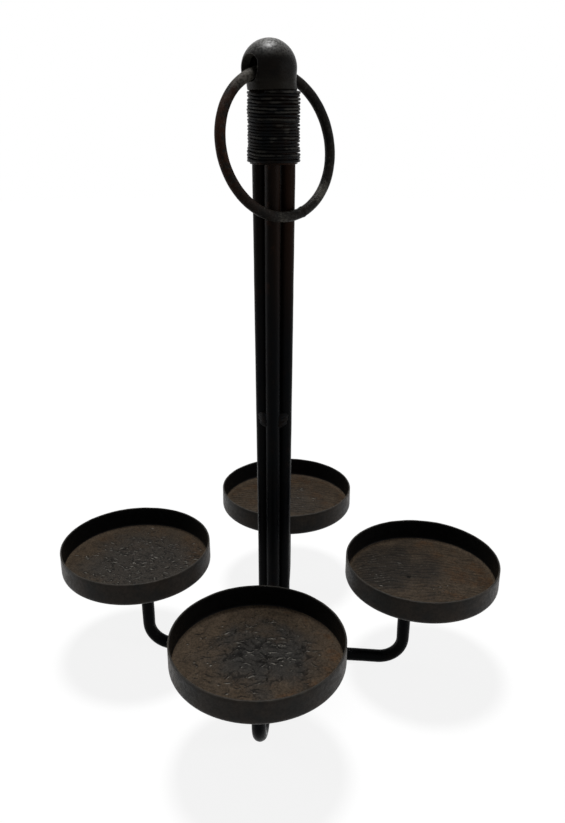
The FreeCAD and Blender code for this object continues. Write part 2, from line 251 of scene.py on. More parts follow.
# %% Lamps
LAMPS = {
    # name: (place, width, watts)
    "softbox_above": ((-0.04, 0.12, 1.45), 0.24, 17.0),
    "softbox_right": ((1.45, -0.3, 0.5), 0.8, 6.0),
    "softbox_left": ((-1.4, 0.2, 0.4), 0.8, 4.0),
}
STAND_MIDDLE = Vector((0, 0, 0.17))
for name, (place, width, watts) in LAMPS.items():
    lamp_data = bpy.data.lights.new(name, "AREA")
    lamp_data.shape = "DISK"
    lamp_data.size = width
    lamp_data.energy = watts
    lamp = bpy.data.objects.new(name, lamp_data)
    lamp.location = place
    lamp.rotation_euler = (STAND_MIDDLE - Vector(place)).to_track_quat("-Z", "Y").to_euler()
    lamp.visible_camera = False
    scene.collection.objects.link(lamp)
print("lamps:", list(LAMPS))

# %% [markdown]
# ## Shared effects
#
# All the stand's iron has aged the same way: it is mottled, it has rusted in blooms, it is rubbed
# bright where hands and candles touch it, and its skin is pitted. The rub effect also places painted
# glints. Each effect is one shader node group, made once and then placed in every material with its
# own values. A group takes a place on the piece and gives back only masks and heights, so each material
# can decide what they do.

# %% Start of a group
# What a group may be given: its title, its kind of socket and the value that it starts with.
PLACE = ("Place", "NodeSocketVector", None)
SIZE = ("Size mm", "NodeSocketFloat", 5.0)
SEED = ("Seed", "NodeSocketFloat", 0.0)


def new_group(name, inputs, outputs):
    """A group, what it is given and what it gives."""
    group = bpy.data.node_groups.new(name, "ShaderNodeTree")
    for title, kind, value in inputs:
        socket = group.interface.new_socket(title, in_out="INPUT", socket_type=kind)
        if value is not None:
            socket.default_value = value
    for title in outputs:
        group.interface.new_socket(title, in_out="OUTPUT", socket_type="NodeSocketFloat")
    return group, node(group, "NodeGroupInput").outputs, node(group, "NodeGroupOutput").inputs


def pattern_inputs(tree, given, finer):
    """What a pattern needs for lumps of the group's size, or finer by a factor."""
    scale = maths(tree, "DIVIDE", finer / MM, given["Size mm"])
    return {"Vector": given["Place"], "W": given["Seed"], "Scale": scale}


def noise_at(tree, given, detail, rough=0.55, finer=1.0):
    inputs = pattern_inputs(tree, given, finer) | {"Detail": detail, "Roughness": rough}
    return node(tree, "ShaderNodeTexNoise", inputs, noise_dimensions="4D").outputs[0]


print("every group is given:", [title for title, *_ in (PLACE, SIZE, SEED)])

# %% [markdown]
# ### Mottle and rust bloom
#
# Mottle is the unevenness of any old black finish, in broad patches and in fine ones. Rust grows in
# blooms with ragged edges. Both are noise cut off by a soft step. For rust the step's level falls as
# the amount rises, so the same noise gives a few specks or a whole field.

# %% Mottle and rust bloom
mottle, given, gives = new_group("mottle", [PLACE, SIZE, SEED], ["Broad", "Fine"])
broad = noise_at(mottle, given, detail=3.0)
fine = noise_at(mottle, given, detail=4.0, rough=0.65, finer=7.0)
feed(mottle, gives["Broad"], step_between(mottle, broad, low=0.34, high=0.66))
feed(mottle, gives["Fine"], step_between(mottle, fine, low=0.4, high=0.6))

AMOUNT = ("Amount", "NodeSocketFloat", 0.5)
BLOOM_EDGE = 0.14     # from the level where rust begins to the one where it is full
rust_bloom, given, gives = new_group("rust_bloom", [PLACE, SIZE, SEED, AMOUNT], ["Mask"])
blotches = noise_at(rust_bloom, given, detail=6.0, rough=0.7)
least = share_of(rust_bloom, given["Amount"], share=-0.5, start=0.78)
most = maths(rust_bloom, "ADD", least, BLOOM_EDGE)
feed(rust_bloom, gives["Mask"], step_between(rust_bloom, blotches, least, most))
print("groups:", mottle.name, rust_bloom.name)

# %% [markdown]
# ### Rub and pits
#
# Rubbed iron shows along edges and crests, which only the piece knows. So this group is given a mask
# and breaks it up with noise, and a strong mask survives the noise where a weak one leaves specks. The
# same group breaks up the painted glints on the floors' crests, the rims and the wire's turns. Pits are
# the middles of Voronoi cells, sunk into a gritty skin.

# %% Rub and pits
EDGE = ("Edge", "NodeSocketFloat", 0.0)
PIT_DEPTH = 0.5     # against the grit's height

rub_and_glint, given, gives = new_group("rub_and_glint", [PLACE, SIZE, SEED, EDGE], ["Mask"])
specks = noise_at(rub_and_glint, given, detail=5.0, rough=0.7)
broken = maths(rub_and_glint, "ADD", given["Edge"], maths(rub_and_glint, "SUBTRACT", specks, 1.0))
feed(rub_and_glint, gives["Mask"], step_between(rub_and_glint, broken, low=0.12, high=0.62))

pitted, given, gives = new_group("pitted", [PLACE, SIZE, SEED], ["Height", "Pits"])
grit = noise_at(pitted, given, detail=6.0, rough=0.7, finer=3.0)
cell_inputs = pattern_inputs(pitted, given, finer=1.0) | {"Randomness": 1.0}
cells = node(pitted, "ShaderNodeTexVoronoi", cell_inputs, voronoi_dimensions="4D").outputs["Distance"]
pits = maths(pitted, "SUBTRACT", 1.0, step_between(pitted, cells, low=0.08, high=0.3))
sunk = share_of(pitted, pits, share=PIT_DEPTH)
feed(pitted, gives["Pits"], pits)
feed(pitted, gives["Height"], maths(pitted, "SUBTRACT", grit, sunk))
print("groups:", rub_and_glint.name, pitted.name)

# %% [markdown]
# ## From numbers to pieces
#
# Blender could sweep the bars with curves and turn the pans with a Screw modifier. Hand-made iron is
# uneven, though, and its unevenness has to be in the mesh, where every light and every view finds it.
# So the pieces are grids of points that a formula sets out and noise disturbs a little. The first
# helpers join such a grid into faces.

# %% Faces of a grid
def quads(rows, columns, closed_rows=False, closed_columns=True):
    """Corner numbers of the faces of a grid of points that are counted row by row."""
    row, column = np.meshgrid(
        np.arange(rows if closed_rows else rows - 1),
        np.arange(columns if closed_columns else columns - 1),
        indexing="ij",
    )
    next_row = (row + 1) % rows * columns
    next_column = (column + 1) % columns
    row = row * columns
    corners = [row + column, row + next_column, next_row + next_column, next_row + column]
    return np.stack(corners, axis=-1).reshape(-1, 4).tolist()


def capped(stations, sides):
    """Faces of a tube with a flat cap on each end."""
    last = (stations - 1) * sides
    return quads(stations, sides) + [list(range(sides)), list(range(last, last + sides))]


print("the faces of a cube, as a tube of two squares:", len(capped(stations=2, sides=4)))

# %% [markdown]
# ### Unevenness
#
# Blender's own noise is at hand in Python too, as mathutils.noise. A helper asks it for a value at
# each point of a grid. Dents must only ever go in, so that no piece grows out of its CAD box, and they
# take the same noise moved up to run from 0 to 1.

# %% Noise and soft steps
OCTAVE_FADE, OCTAVE_FINER = 1.0, 2.0


def lumps(points, size, octaves=2):
    """Noise from about -1 to 1 at points, in lumps of about the given size."""
    places = np.asarray(points).reshape(-1, 3) / size
    values = [noise.fractal(place, OCTAVE_FADE, OCTAVE_FINER, octaves) for place in places.tolist()]
    return np.array(values).reshape(np.asarray(points).shape[:-1])


def dips(points, size):
    """Noise from about 0 to 1."""
    return 0.5 + 0.5 * lumps(points, size)


def soft_step(value, low, high):
    share = np.clip((value - low) / (high - low), 0, 1)
    return share * share * (3 - 2 * share)


print(f"half way up a soft step: {soft_step(0.5, 0, 1):.2f}")

# %% [markdown]
# ### From a grid to a mesh
#
# Blender takes lists of points and faces as they are, so some faces of a new mesh may look inward,
# which would turn the bumps of its finish inside out. Edit Mode can recalculate them by hand. BMesh
# does the same in a script, and can also merge points that lie in one place.

# %% New meshes
def new_mesh(name, points, faces, merged_within=0.0):
    """A mesh with its faces turned outward, and with points merged that lie close together."""
    mesh = bpy.data.meshes.new(name)
    mesh.from_pydata(np.asarray(points).reshape(-1, 3).tolist(), [], faces)
    work = bmesh.new()
    work.from_mesh(mesh)
    if merged_within:
        bmesh.ops.remove_doubles(work, verts=work.verts, dist=merged_within)
    bmesh.ops.recalc_face_normals(work, faces=work.faces)
    work.to_mesh(mesh)
    work.free()
    return mesh


def corners_of(cad_node):
    """The points of a CAD node's own mesh, from which some sizes are read back."""
    return np.array([vertex.co for vertex in frame["nodes"][cad_node].data.vertices])


print("corners of the CAD ring:", len(corners_of("hanging_ring")))

# %% [markdown]
# ### A piece in place of a CAD node
#
# Each new piece gets its finishes and its marks, values at its points that its finishes read. Marks
# could be painted by hand as vertex colours. Here they are attributes that a formula fills, so they fit
# the shape wherever it changes.

# %% New pieces
def new_piece(name, cad_node, points, faces, finishes, body="stand", marks=None,
              finish_of_face=None):
    """A smooth object that stands for a CAD node and carries marks for its finishes."""
    mesh = new_mesh(name, points, faces)
    for finish in finishes:
        mesh.materials.append(finish)
    if finish_of_face is not None:
        mesh.polygons.foreach_set("material_index", finish_of_face)
    mesh.shade_smooth()
    for title, values in (marks or {}).items():
        flat = np.ascontiguousarray(values, dtype=np.float32)
        single = flat.size == len(mesh.vertices)
        kind, field = ("FLOAT", "value") if single else ("FLOAT_VECTOR", "vector")
        mesh.attributes.new(title, kind, "POINT").data.foreach_set(field, flat.ravel())
    piece = bpy.data.objects.new(name, mesh)
    scene.collection.objects.link(piece)
    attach(piece, body)
    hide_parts(cad_node)
    print(f"{name}: {len(mesh.vertices)} points")


print("CAD nodes to dress:", len(frame["nodes"]))

# %% [markdown]
# ## Finishes
#
# A finish starts as a bare Principled material with the numbers that are the same all over. Blackened
# iron is an oxide skin, not bright metal, so it stays a very dark non-metal with little mirror, and
# where it is rubbed through only its colour pales. Four colours are shared by several finishes.

# %% Start of a finish
COLD_BLACK = (0.0019, 0.0025, 0.0033, 1)
WARM_BLACK = (0.0040, 0.0026, 0.0019, 1)
RUST_BROWN = (0.0220, 0.0095, 0.0052, 1)
BARE_IRON = (0.110, 0.104, 0.090, 1)


def iron_finish(name, mirror):
    """A new material with its shader; mirror is the level of its reflections."""
    material = bpy.data.materials.new(name)
    tree = empty_tree(material)
    shader = node(tree, "ShaderNodeBsdfPrincipled", {"Specular IOR Level": mirror})
    node(tree, "ShaderNodeOutputMaterial", {"Surface": shader.outputs[0]})
    return material, tree, shader.inputs


def finished(material):
    """Says how many nodes a finish took, and hands it on."""
    print(f"{material.name}: {len(material.node_tree.nodes)} nodes")
    return material


print(f"bare iron is {BARE_IRON[0] / COLD_BLACK[0]:.0f} times as bright as cold black")

# %% [markdown]
# ### Placing effects
#
# A pattern needs to know where it is on a piece. UV maps would do, but they have to be unwrapped and
# they stretch at seams. The piece's own frame needs no unwrapping, and there a millimetre is a
# millimetre. Where a pattern has to follow the shape, it reads a mark instead.

# %% Placing effects
def own_place(tree):
    return node(tree, "ShaderNodeTexCoord").outputs["Object"]


def mark(tree, title, output="Fac"):
    return node(tree, "ShaderNodeAttribute", attribute_name=title).outputs[output]


def effect(tree, group, **values):
    """Places a shared effect, in the piece's own frame if no place is given; size_mm is its Size mm."""
    placed = node(tree, "ShaderNodeGroup", node_tree=group)
    if "place" not in values:
        values["place"] = own_place(tree)
    for title, source in values.items():
        feed(tree, placed.inputs[title.replace("_", " ").capitalize()], source)
    return placed.outputs


def bumps(tree, shader, height, depth_mm):
    inputs = {"Height": height, "Distance": depth_mm * MM, "Strength": 1.0}
    feed(tree, shader["Normal"], node(tree, "ShaderNodeBump", inputs).outputs[0])


print("effects to place:", sorted(group.name for group in bpy.data.node_groups))

# %% [markdown]
# ### Blackened bar
#
# The bars were drawn, bent and blackened. Near the foot they are a cold blue-black. Up under the
# binding, where the head was heated, they turn warm, and there their right side is painted brown, a
# painted reddish sheen of the light from the right. Drawing leaves faint lines along a bar. A bar that
# bends can't take those lines from plain x, y and z, so each of its points carries a mark named
# straight: where it would lie if the bar were straightened. Noise that is stretched along that mark
# follows every bend.

# %% Blackened bar
DRAWN_LINES = (0.05, 1, 1)                      # scale of the lines' noise along the bar and across it
HEATED_FROM, HEATED_TO = 200 * MM, 285 * MM     # heights
SHEEN_FROM, SHEEN_TO = -3 * MM, 8 * MM      # to the right of the stem's middle


def blackened_bar():
    material, tree, shader = iron_finish("blackened_bar", mirror=0.022)
    straight = mark(tree, "straight", "Vector")
    drawn = node(tree, "ShaderNodeVectorMath", {0: straight, 1: DRAWN_LINES}, operation="MULTIPLY")
    lines = effect(tree, mottle, place=drawn.outputs[0], size_mm=1.6, seed=3.0)
    patches = effect(tree, mottle, size_mm=14.0, seed=5.0)
    bloom = effect(tree, rust_bloom, size_mm=9.0, seed=2.0, amount=0.5)["Mask"]
    scuffs = effect(tree, rub_and_glint, size_mm=3.5, seed=11.0, edge=0.42)["Mask"]
    skin = effect(tree, pitted, size_mm=1.3, seed=1.0)
    spot = node(tree, "ShaderNodeSeparateXYZ", {0: own_place(tree)}).outputs
    heated = step_between(tree, spot["Z"], HEATED_FROM, HEATED_TO)
    # The upper right side of the bars is painted browner: a painted sheen of the light from the right.
    lit_right_side = step_between(tree, spot["X"], SHEEN_FROM, SHEEN_TO)
    right_sheen = share_of(tree, maths(tree, "MULTIPLY", heated, lit_right_side), share=0.6)
    rusty = maths(tree, "MULTIPLY", bloom, share_of(tree, heated, share=0.75, start=0.15))
    warm = maths(tree, "MAXIMUM", heated, share_of(tree, patches["Broad"], share=0.3))
    colour = mix(tree, warm, COLD_BLACK, WARM_BLACK)
    # Rust blooms and the painted sheen on the right both take the rust's brown.
    colour = mix(tree, maths(tree, "MAXIMUM", rusty, right_sheen), colour, RUST_BROWN)
    colour = mix(tree, share_of(tree, scuffs, share=0.5), colour, BARE_IRON)
    feed(tree, shader["Base Color"], colour)
    grain = share_of(tree, lines["Broad"], share=0.14)
    dull = maths(tree, "ADD", grain, share_of(tree, skin["Pits"], share=0.15, start=0.2))
    feed(tree, shader["Roughness"], dull)
    relief = maths(tree, "ADD", skin["Height"], share_of(tree, lines["Fine"], share=0.5))
    bumps(tree, shader, relief, depth_mm=0.05)
    return finished(material)


bar_finish = blackened_bar()

# %% [markdown]
# ### Runs and bends
#
# Each bar is one length of iron: an upright under its pan, an arm on the floor and a leg of the stem.
# A Bezier curve with a round bevel would draw it, but its ends and bends would stay too perfect. Here
# a line of stations is laid along the bar, straight runs and quarter circles in turn, in the upright
# plane that the bar lies in.

# %% Runs and bends
BAR_STEP = 2.5 * MM        # between stations on a straight run
BEND_R = 15 * MM
BEND_STATIONS = 18


def run_of(start, end):
    count = max(2, int(np.linalg.norm(np.subtract(end, start)) / BAR_STEP))
    return np.linspace(start, end, count, endpoint=False)


def bend_of(centre, first, last):
    turn = np.radians(np.linspace(first, last, BEND_STATIONS, endpoint=False))
    return np.array(centre) + BEND_R * np.stack([np.cos(turn), np.sin(turn)], axis=-1)


print("stations of a quarter circle:", len(bend_of((0, 0), 0, 90)))

# %% [markdown]
# ### The route of a bar
#
# How thick a bar is, how far out its upright stands and where its leg ends could all be typed in. But
# those are the CAD bar's own sizes, so they are measured on its corners, and the two always agree. An
# arm's way is its direction from the stem, seen from above.

# %% Route of a bar
ARMS = {"front": (0, -1), "back": (0, 1), "left": (-1, 0), "right": (1, 0)}
PARTING_Z = 87 * MM        # legs stand side by side below this height, and lean apart above it
TOP_SLICE = 0.2 * MM       # corners this near the top belong to the leg's end


def bar_route(cad_node, way):
    """Stations of a bar as (out from the stem, up), how much each one is bent, and the bar's radius."""
    corners = corners_of(cad_node)
    out = corners[:, 0] * way[0] + corners[:, 1] * way[1]
    radius = np.ptp(corners[:, 0] * way[1] - corners[:, 1] * way[0]) / 2
    top = corners[:, 2].max()
    upright, foot = out.max() - radius, out.min() + radius
    head = out[corners[:, 2] > top - TOP_SLICE].mean()
    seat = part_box(cad_node.replace("rod", "pan"))[0].z
    low = radius + BEND_R
    stretches = [
        # how much it is bent, and its stations
        (0.0, run_of((upright, seat), (upright, low))),
        (1.0, bend_of((upright - BEND_R, low), 0, -90)),
        (0.0, run_of((upright - BEND_R, radius), (foot + BEND_R, radius))),
        (1.0, bend_of((foot + BEND_R, low), 270, 180)),
        (0.0, run_of((foot, low), (foot, PARTING_Z))),
        (0.0, run_of((foot, PARTING_Z), (head, top))),
        (0.0, np.array([(head, top)])),
    ]
    bent = np.concatenate([np.full(len(stations), much) for much, stations in stretches])
    return np.concatenate([stations for _, stations in stretches]), bent, radius


print("stations of the front bar:", len(bar_route("front_rod", ARMS["front"])[0]))

# %% [markdown]
# ### Sweeping a round section
#
# A bar's surface is a ring of points set square to its route at each station. A curve's bevel does the
# same, but there every point has one radius. Here each point has its own, so dents can be cut into the
# bar, and each can be told where it would lie if the bar were straight, which is the mark that the
# finish reads.

# %% Sweep
UP = np.array([0.0, 0.0, 1.0])


def full_turn(count):
    """Angles evenly all round."""
    return np.linspace(0, 2 * math.pi, count, endpoint=False)


def sweep(path, side, radius):
    """Rings of points square to a path; side is the direction of each ring's first point."""
    tangent = np.gradient(path, axis=0)
    tangent /= np.linalg.norm(tangent, axis=1, keepdims=True)
    side = side - tangent * (side * tangent).sum(axis=1, keepdims=True)
    side /= np.linalg.norm(side, axis=1, keepdims=True)
    turn = full_turn(radius.shape[1])[:, None]
    around = side[:, None] * np.cos(turn) + np.cross(tangent, side)[:, None] * np.sin(turn)
    return path[:, None] + around * radius[..., None]


def straightened(along, radius, turn):
    """Where the points of a round piece would lie if it were straight."""
    across = radius * np.cos(turn), radius * np.sin(turn)
    return np.stack(np.broadcast_arrays(along[:, None], *across), axis=-1)


print("quarters of a full turn:", full_turn(4).round(2).tolist())

# %% [markdown]
# ### The four bars
#
# Now the bars can be made. Noise takes a tenth of a millimetre off here and there, in hammer marks
# that are longer along the bar, and bends are a touch flattened, as they are when a bar is pulled
# round a former.

# %% Bars
BAR_SIDES = 36
BEND_FLATTENING = 0.035
BEND_EASE = 9              # stations over which a bend's flattening starts and ends
HAMMER_DEPTH, HAMMER_SIZE = 0.12 * MM, 6 * MM
HAMMER_LONG = (0.4, 1, 1)  # scale of the marks' noise along the bar and across it


def make_bar(arm, way):
    route, bent, radius = bar_route(f"{arm}_rod", way)
    out = np.array([*way, 0.0])
    path = route[:, :1] * out + route[:, 1:] * UP
    along = np.concatenate([[0], np.cumsum(np.linalg.norm(np.diff(path, axis=0), axis=1))])
    turn = full_turn(BAR_SIDES)
    straight = straightened(along, radius, turn)
    hammered = HAMMER_DEPTH * dips(straight * HAMMER_LONG + out, HAMMER_SIZE)
    ease = np.hanning(BEND_EASE)
    eased = np.convolve(bent, ease / ease.sum(), mode="same")
    flat = 1 - BEND_FLATTENING * eased[:, None] * np.sin(turn) ** 2
    side = np.broadcast_to(np.cross(out, UP), path.shape)
    points = sweep(path, side, radius * flat - hammered)
    new_piece(f"{arm}_bar", f"{arm}_rod", points, capped(len(path), BAR_SIDES),
              [bar_finish], marks={"straight": straight})


for arm, way in ARMS.items():
    make_bar(arm, way)

# %% [markdown]
# ### Crusted floor
#
# Years of hot wax and scraping have left a crust on the pans' floors. It is grey and cracked in the
# middle and rust brown towards the wall. Its crests are painted pale, partly rubbed by candles' feet
# and partly a painted glint, and its cracks and hollows are painted dark as painted shade. Noise alone
# could paint that, but the paint wouldn't sit on the relief. So the finish reads marks from the mesh:
# how thick the crust is, where the painted shade of cracks and the painted glints of crests go, and
# where it is rusty or dark. The marks come from the same formulas as the shape, so paint and relief
# always agree.

# %% Crusted floor
FLOOR_BROWN = (0.0720, 0.0525, 0.0352, 1)
FLOOR_RUST = (0.0790, 0.0450, 0.0235, 1)
CRUST_GREY = (0.0490, 0.0455, 0.0405, 1)
# Used for stains, and for the painted shade in cracks, scrape grooves and pits.
STAIN_AND_SHADE_DARK = (0.0030, 0.0026, 0.0022, 1)
# The crests' pale colour is a painted glint, with a little rub in it.
CREST_RUB_AND_GLINT = (0.1900, 0.1790, 0.1570, 1)


def crusted_floor():
    material, tree, shader = iron_finish("crusted_floor", mirror=0.05)
    crust = mark(tree, "crust")
    crest_glint = effect(tree, rub_and_glint, size_mm=1.5, seed=7.0, edge=mark(tree, "crest_glint"))["Mask"]
    patches = effect(tree, mottle, size_mm=7.0, seed=8.0)
    bloom = effect(tree, rust_bloom, size_mm=14.0, seed=4.0, amount=0.62)["Mask"]
    skin = effect(tree, pitted, size_mm=1.0, seed=6.0)
    rusty = maths(tree, "MULTIPLY", bloom, mark(tree, "rust"))
    colour = mix(tree, rusty, FLOOR_BROWN, FLOOR_RUST)
    colour = mix(tree, crust, colour, CRUST_GREY)
    # Mottle, pits and the dark mark are stains; the crack mark is painted shade.
    stains_and_shade = [
        share_of(tree, patches["Fine"], share=0.5),
        share_of(tree, patches["Broad"], share=0.2),
        share_of(tree, skin["Pits"], share=0.7),
        mark(tree, "dark"),
        mark(tree, "crack"),
    ]
    for stain in stains_and_shade:
        colour = mix(tree, stain, colour, STAIN_AND_SHADE_DARK)
    # Crests are painted pale: partly rub and partly a painted glint.
    feed(tree, shader["Base Color"], mix(tree, crest_glint, colour, CREST_RUB_AND_GLINT))
    dull = share_of(tree, patches["Broad"], share=0.12, start=0.5)
    glinting = share_of(tree, crest_glint, share=0.3)
    polish = maths(tree, "MAXIMUM", share_of(tree, crust, share=0.18), glinting)
    feed(tree, shader["Roughness"], maths(tree, "SUBTRACT", dull, polish))
    bumps(tree, shader, skin["Height"], depth_mm=0.25)
    return finished(material)


floor_finish = crusted_floor()

# %% [markdown]
# ### Wall with painted shade inside
#
# The pans' walls are satin brown-black outside. Inside they are painted near black, a painted shade
# of the inner wall. The rims are paler, partly rubbed and partly a painted highlight along the rim's
# edge. One material with a mask would do for the whole pan, but the wall mirrors more than the floor,
# and a shader's level of reflections is one number. So a pan has two finishes, and its faces say which.

# %% Wall with painted shade
WALL_DARK = (0.0130, 0.0124, 0.0114, 1)
WALL_BROWN = (0.0250, 0.0192, 0.0148, 1)
# Used for dark mottle, and for the painted shade inside the wall.
MOTTLE_AND_SHADE_BLACK = (0.0016, 0.0016, 0.0016, 1)


def wall_with_painted_shade():
    material, tree, shader = iron_finish("wall_with_painted_shade", mirror=0.07)
    patches = effect(tree, mottle, size_mm=11.0, seed=18.0)
    skin = effect(tree, pitted, size_mm=1.2, seed=16.0)
    rim = effect(tree, rub_and_glint, size_mm=3.0, seed=9.0, edge=mark(tree, "rim"))["Mask"]
    colour = mix(tree, patches["Broad"], WALL_DARK, WALL_BROWN)
    colour = mix(tree, share_of(tree, patches["Fine"], share=0.3), colour, MOTTLE_AND_SHADE_BLACK)
    # The inside of the wall is painted near black: painted shade.
    colour = mix(tree, mark(tree, "inner_wall_shade"), colour, MOTTLE_AND_SHADE_BLACK)
    # The rim is painted paler, partly rub and partly a painted highlight.
    feed(tree, shader["Base Color"], mix(tree, share_of(tree, rim, share=0.16), colour, BARE_IRON))
    feed(tree, shader["Roughness"], share_of(tree, patches["Fine"], share=0.16, start=0.34))
    bumps(tree, shader, skin["Height"], depth_mm=0.07)
    return finished(material)


wall_finish = wall_with_painted_shade()

# %% [markdown]
# ### Plates of crust
#
# The four floors differ: cracked plates and curled flakes in front, small flakes on the left, scrape
# lines on the right and at the back. Sculpting them by hand couldn't be repeated, and a Displace
# modifier knows only one texture, so each kind of relief is a small function of points on the floor,
# in millimetres. It gives a height, a mask of painted shade for its cracks and hollows, and a mask of
# painted glints for its crests. The first kind is plates: Voronoi cells, pushed about by noise, each
# tipped its own way and curled up at its cracks.

# %% Plates
FAR_APART = 100.0                  # mm over which a pattern may start, so that no two floors are alike
WARP, WARP_SIZE = 0.25, 0.5        # in cells
WARP_SHIFTS = (3.0, 7.0, 11.0)     # where the noise for each direction is taken, in cells
SITE_SPREAD = 5.0                  # takes neighbouring plates to random numbers of their own
PLATE_STEP, PLATE_TIP = 0.2, 0.5   # mm: how far plates differ in height, and how far they tip
OPEN_SIZE = 1.2                    # in cells, of the lumps of noise that say where cracks are open
OPEN_RANGE = (-0.25, 0.1)          # levels of that noise
CRACK_RANGE = (0.2, 0.9)           # mm from the border, where a crack begins to close and has closed
CRACK_DEEP = 0.6                   # mm
CURL_AT, CURL_WIDE, CURL_HIGH = 1.4, 0.6, 0.3   # mm
CURL_GLINT, GLINT_RANGE = 0.8, (0.0, 0.15)      # only plates that tip up get the painted glint; levels in mm


def plates(points, rng, cell):
    """Plates about a cell wide, with cracks between them that open and close."""
    even = (points + rng.uniform(0, FAR_APART, 3)) / cell
    push = np.stack([lumps(even + shift, WARP_SIZE) for shift in WARP_SHIFTS], axis=-1)
    tilt, border = np.zeros((2, len(points)))
    for index, place in enumerate((even + WARP * push).tolist()):
        (near, second, *_), (site, *_) = noise.voronoi(place)
        tip = noise.cell_vector(site * SITE_SPREAD) - Vector((0.5, 0.5, 0.5))
        slope = (Vector(place) - site).dot(Vector((tip.x, tip.y, 0)))
        tilt[index] = PLATE_STEP * tip.z + PLATE_TIP * slope
        border[index] = (second - near) * cell
    opened = soft_step(lumps(points, OPEN_SIZE * cell), *OPEN_RANGE)
    crack = (1 - soft_step(border, *CRACK_RANGE)) * opened
    curl = np.exp(-((border - CURL_AT) / CURL_WIDE) ** 2) * opened
    # The curled lips of plates that tip up carry a painted glint.
    crest_glint = CURL_GLINT * curl * soft_step(tilt, *GLINT_RANGE)
    return tilt + CURL_HIGH * curl - CRACK_DEEP * crack, crack, crest_glint


print(f"plates curl up {CURL_HIGH} mm beside cracks {CRACK_DEEP} mm deep")

# %% [markdown]
# ### Flakes
#
# Where the crust has lifted it stands up in short curled flakes. A particle system could scatter
# little meshes, but flakes grow out of the floor and share its surface. Here a flake is a short bent
# ridge with a crack along its far side. The ridge carries a painted glint and the crack beside it a
# painted shade. A seeded random generator scatters many of them, so every run gives the same floor.

# %% Flakes
RIDGE_WIDE = 0.55            # mm, half the width of a flake's ridge
CRACK_BESIDE = 1.0           # mm from the ridge to the crack beside it
FLAKE_LONG = (0.2, 0.5)      # half its length, as a share of the longest
FLAKE_TURN, FLAKE_BOW = 0.35, 0.4   # spread of its angle in radians, and of its bend
FLAKE_TALL = (0.4, 1)        # share of the full height
FLAKE_ROOM = 2               # mm round a flake that it still shapes
GAP_DEEP = 0.6               # share of its height
GLINT_LOW, GLINT_TALL = 0.4, 0.7    # how strong any flake's painted glint is, and how much more a tall one's


def flakes(points, rng, count, middle, spread, longest, height):
    """Short bent ridges, most of them lying along x, scattered about a middle."""
    relief, crack, crest_glint = np.zeros((3, len(points)))
    for _ in range(count):
        from_flake = points[:, :2] - rng.normal(middle, spread)
        half = longest * rng.uniform(*FLAKE_LONG)
        angle = rng.normal(0, FLAKE_TURN)
        bow = rng.normal(0, FLAKE_BOW)
        tall = height * rng.uniform(*FLAKE_TALL)
        near = np.flatnonzero(np.abs(from_flake).max(axis=1) < half + FLAKE_ROOM)
        x, y = from_flake[near].T
        along = x * math.cos(angle) + y * math.sin(angle)
        over = y * math.cos(angle) - x * math.sin(angle) - bow * along ** 2 / half
        length = np.clip(1 - (along / (half + RIDGE_WIDE)) ** 2, 0, 1)
        ridge = np.exp(-(over / RIDGE_WIDE) ** 2) * length
        gap = np.exp(-((over - CRACK_BESIDE) / RIDGE_WIDE) ** 2) * length
        relief[near] += tall * (ridge - GAP_DEEP * gap)
        # Each ridge carries a painted glint, and the crack beside it a painted shade.
        crack[near] = np.maximum(crack[near], gap)
        crest_glint[near] = np.maximum(crest_glint[near], ridge * (GLINT_LOW + GLINT_TALL * tall / height))
    return relief, crack, crest_glint


print(f"flakes are {2 * RIDGE_WIDE} mm wide")

# %% [markdown]
# ### Scrape lines and a pit
#
# Two floors were scraped clean with a blade, which left fine lines right across them, bowed like the
# sweep of an arm. A Wave texture draws such lines too, but only in a finish. A sine of the distance
# across them gives lines that shape the mesh as well, and noise makes them sway, waver and fade. Their
# grooves are painted dark as painted shade, and their ridges pale as a painted highlight. The last kind
# is a pit, the dimple that welding drew into the right floor over its upright, and it is painted dark
# as painted shade.

# %% Scrape lines and pit
DRAWN_OUT = (0.25, 1, 1)           # scale of the noise along the lines and across them
SCRAPE_BOW = 0.004                 # mm across for each square mm along
SWAY, SWAY_SIZE = 2.5, 18.0        # mm
WAVER, WAVER_SIZE = 1.0, 3.0       # mm
FADE_SHIFT, FADE_SIZE = 50.0, 4.0  # mm
FADE_RANGE = (-0.8, 0.2)           # levels of the noise
SCRAPE_DEEP = 0.12                 # mm
SHADE, SHADE_RANGE = 0.7, (0.1, 0.8)   # how strong the painted shade in the grooves and the painted highlight on the ridges get, and from which level
PIT_FLOOR = 0.5                    # share of a pit's radius that is flat


def scraped(points, rng, spacing):
    """Fine scrape lines, bowed and wavering, that come and go right across the floor."""
    drawn = (points + rng.uniform(0, FAR_APART, 3)) * DRAWN_OUT
    bow = SCRAPE_BOW * points[:, 0] ** 2 + SWAY * lumps(points, SWAY_SIZE)
    bow = bow + WAVER * lumps(drawn, WAVER_SIZE)
    fade = soft_step(lumps(drawn + FADE_SHIFT, FADE_SIZE), *FADE_RANGE)
    lines = np.sin(2 * math.pi * (points[:, 1] + bow) / spacing) * fade
    # Grooves get painted shade and ridges a painted highlight.
    dark, ridge_highlight = (SHADE * soft_step(side, *SHADE_RANGE) for side in (-lines, lines))
    return SCRAPE_DEEP * lines, dark, ridge_highlight


def pit(points, rng, middle, radius, depth):
    """One round dimple, which leaves nothing to chance."""
    away = np.hypot(points[:, 0] - middle[0], points[:, 1] - middle[1])
    dimple = 1 - soft_step(away, PIT_FLOOR * radius, radius)
    # The dimple is also the mask of the pit's painted shade.
    return -depth * dimple, dimple, np.zeros(len(points))


print("kinds of relief:", [kind.__name__ for kind in (plates, flakes, scraped, pit)])

# %% [markdown]
# ### Four different floors
#
# A table says what each floor has: its kinds of relief, where the crust is and how grey it is, how
# dark the floor is beside and under the crust, and which side has rusted. Kinds and numbers lie side
# by side, so one floor can be changed without touching the others.

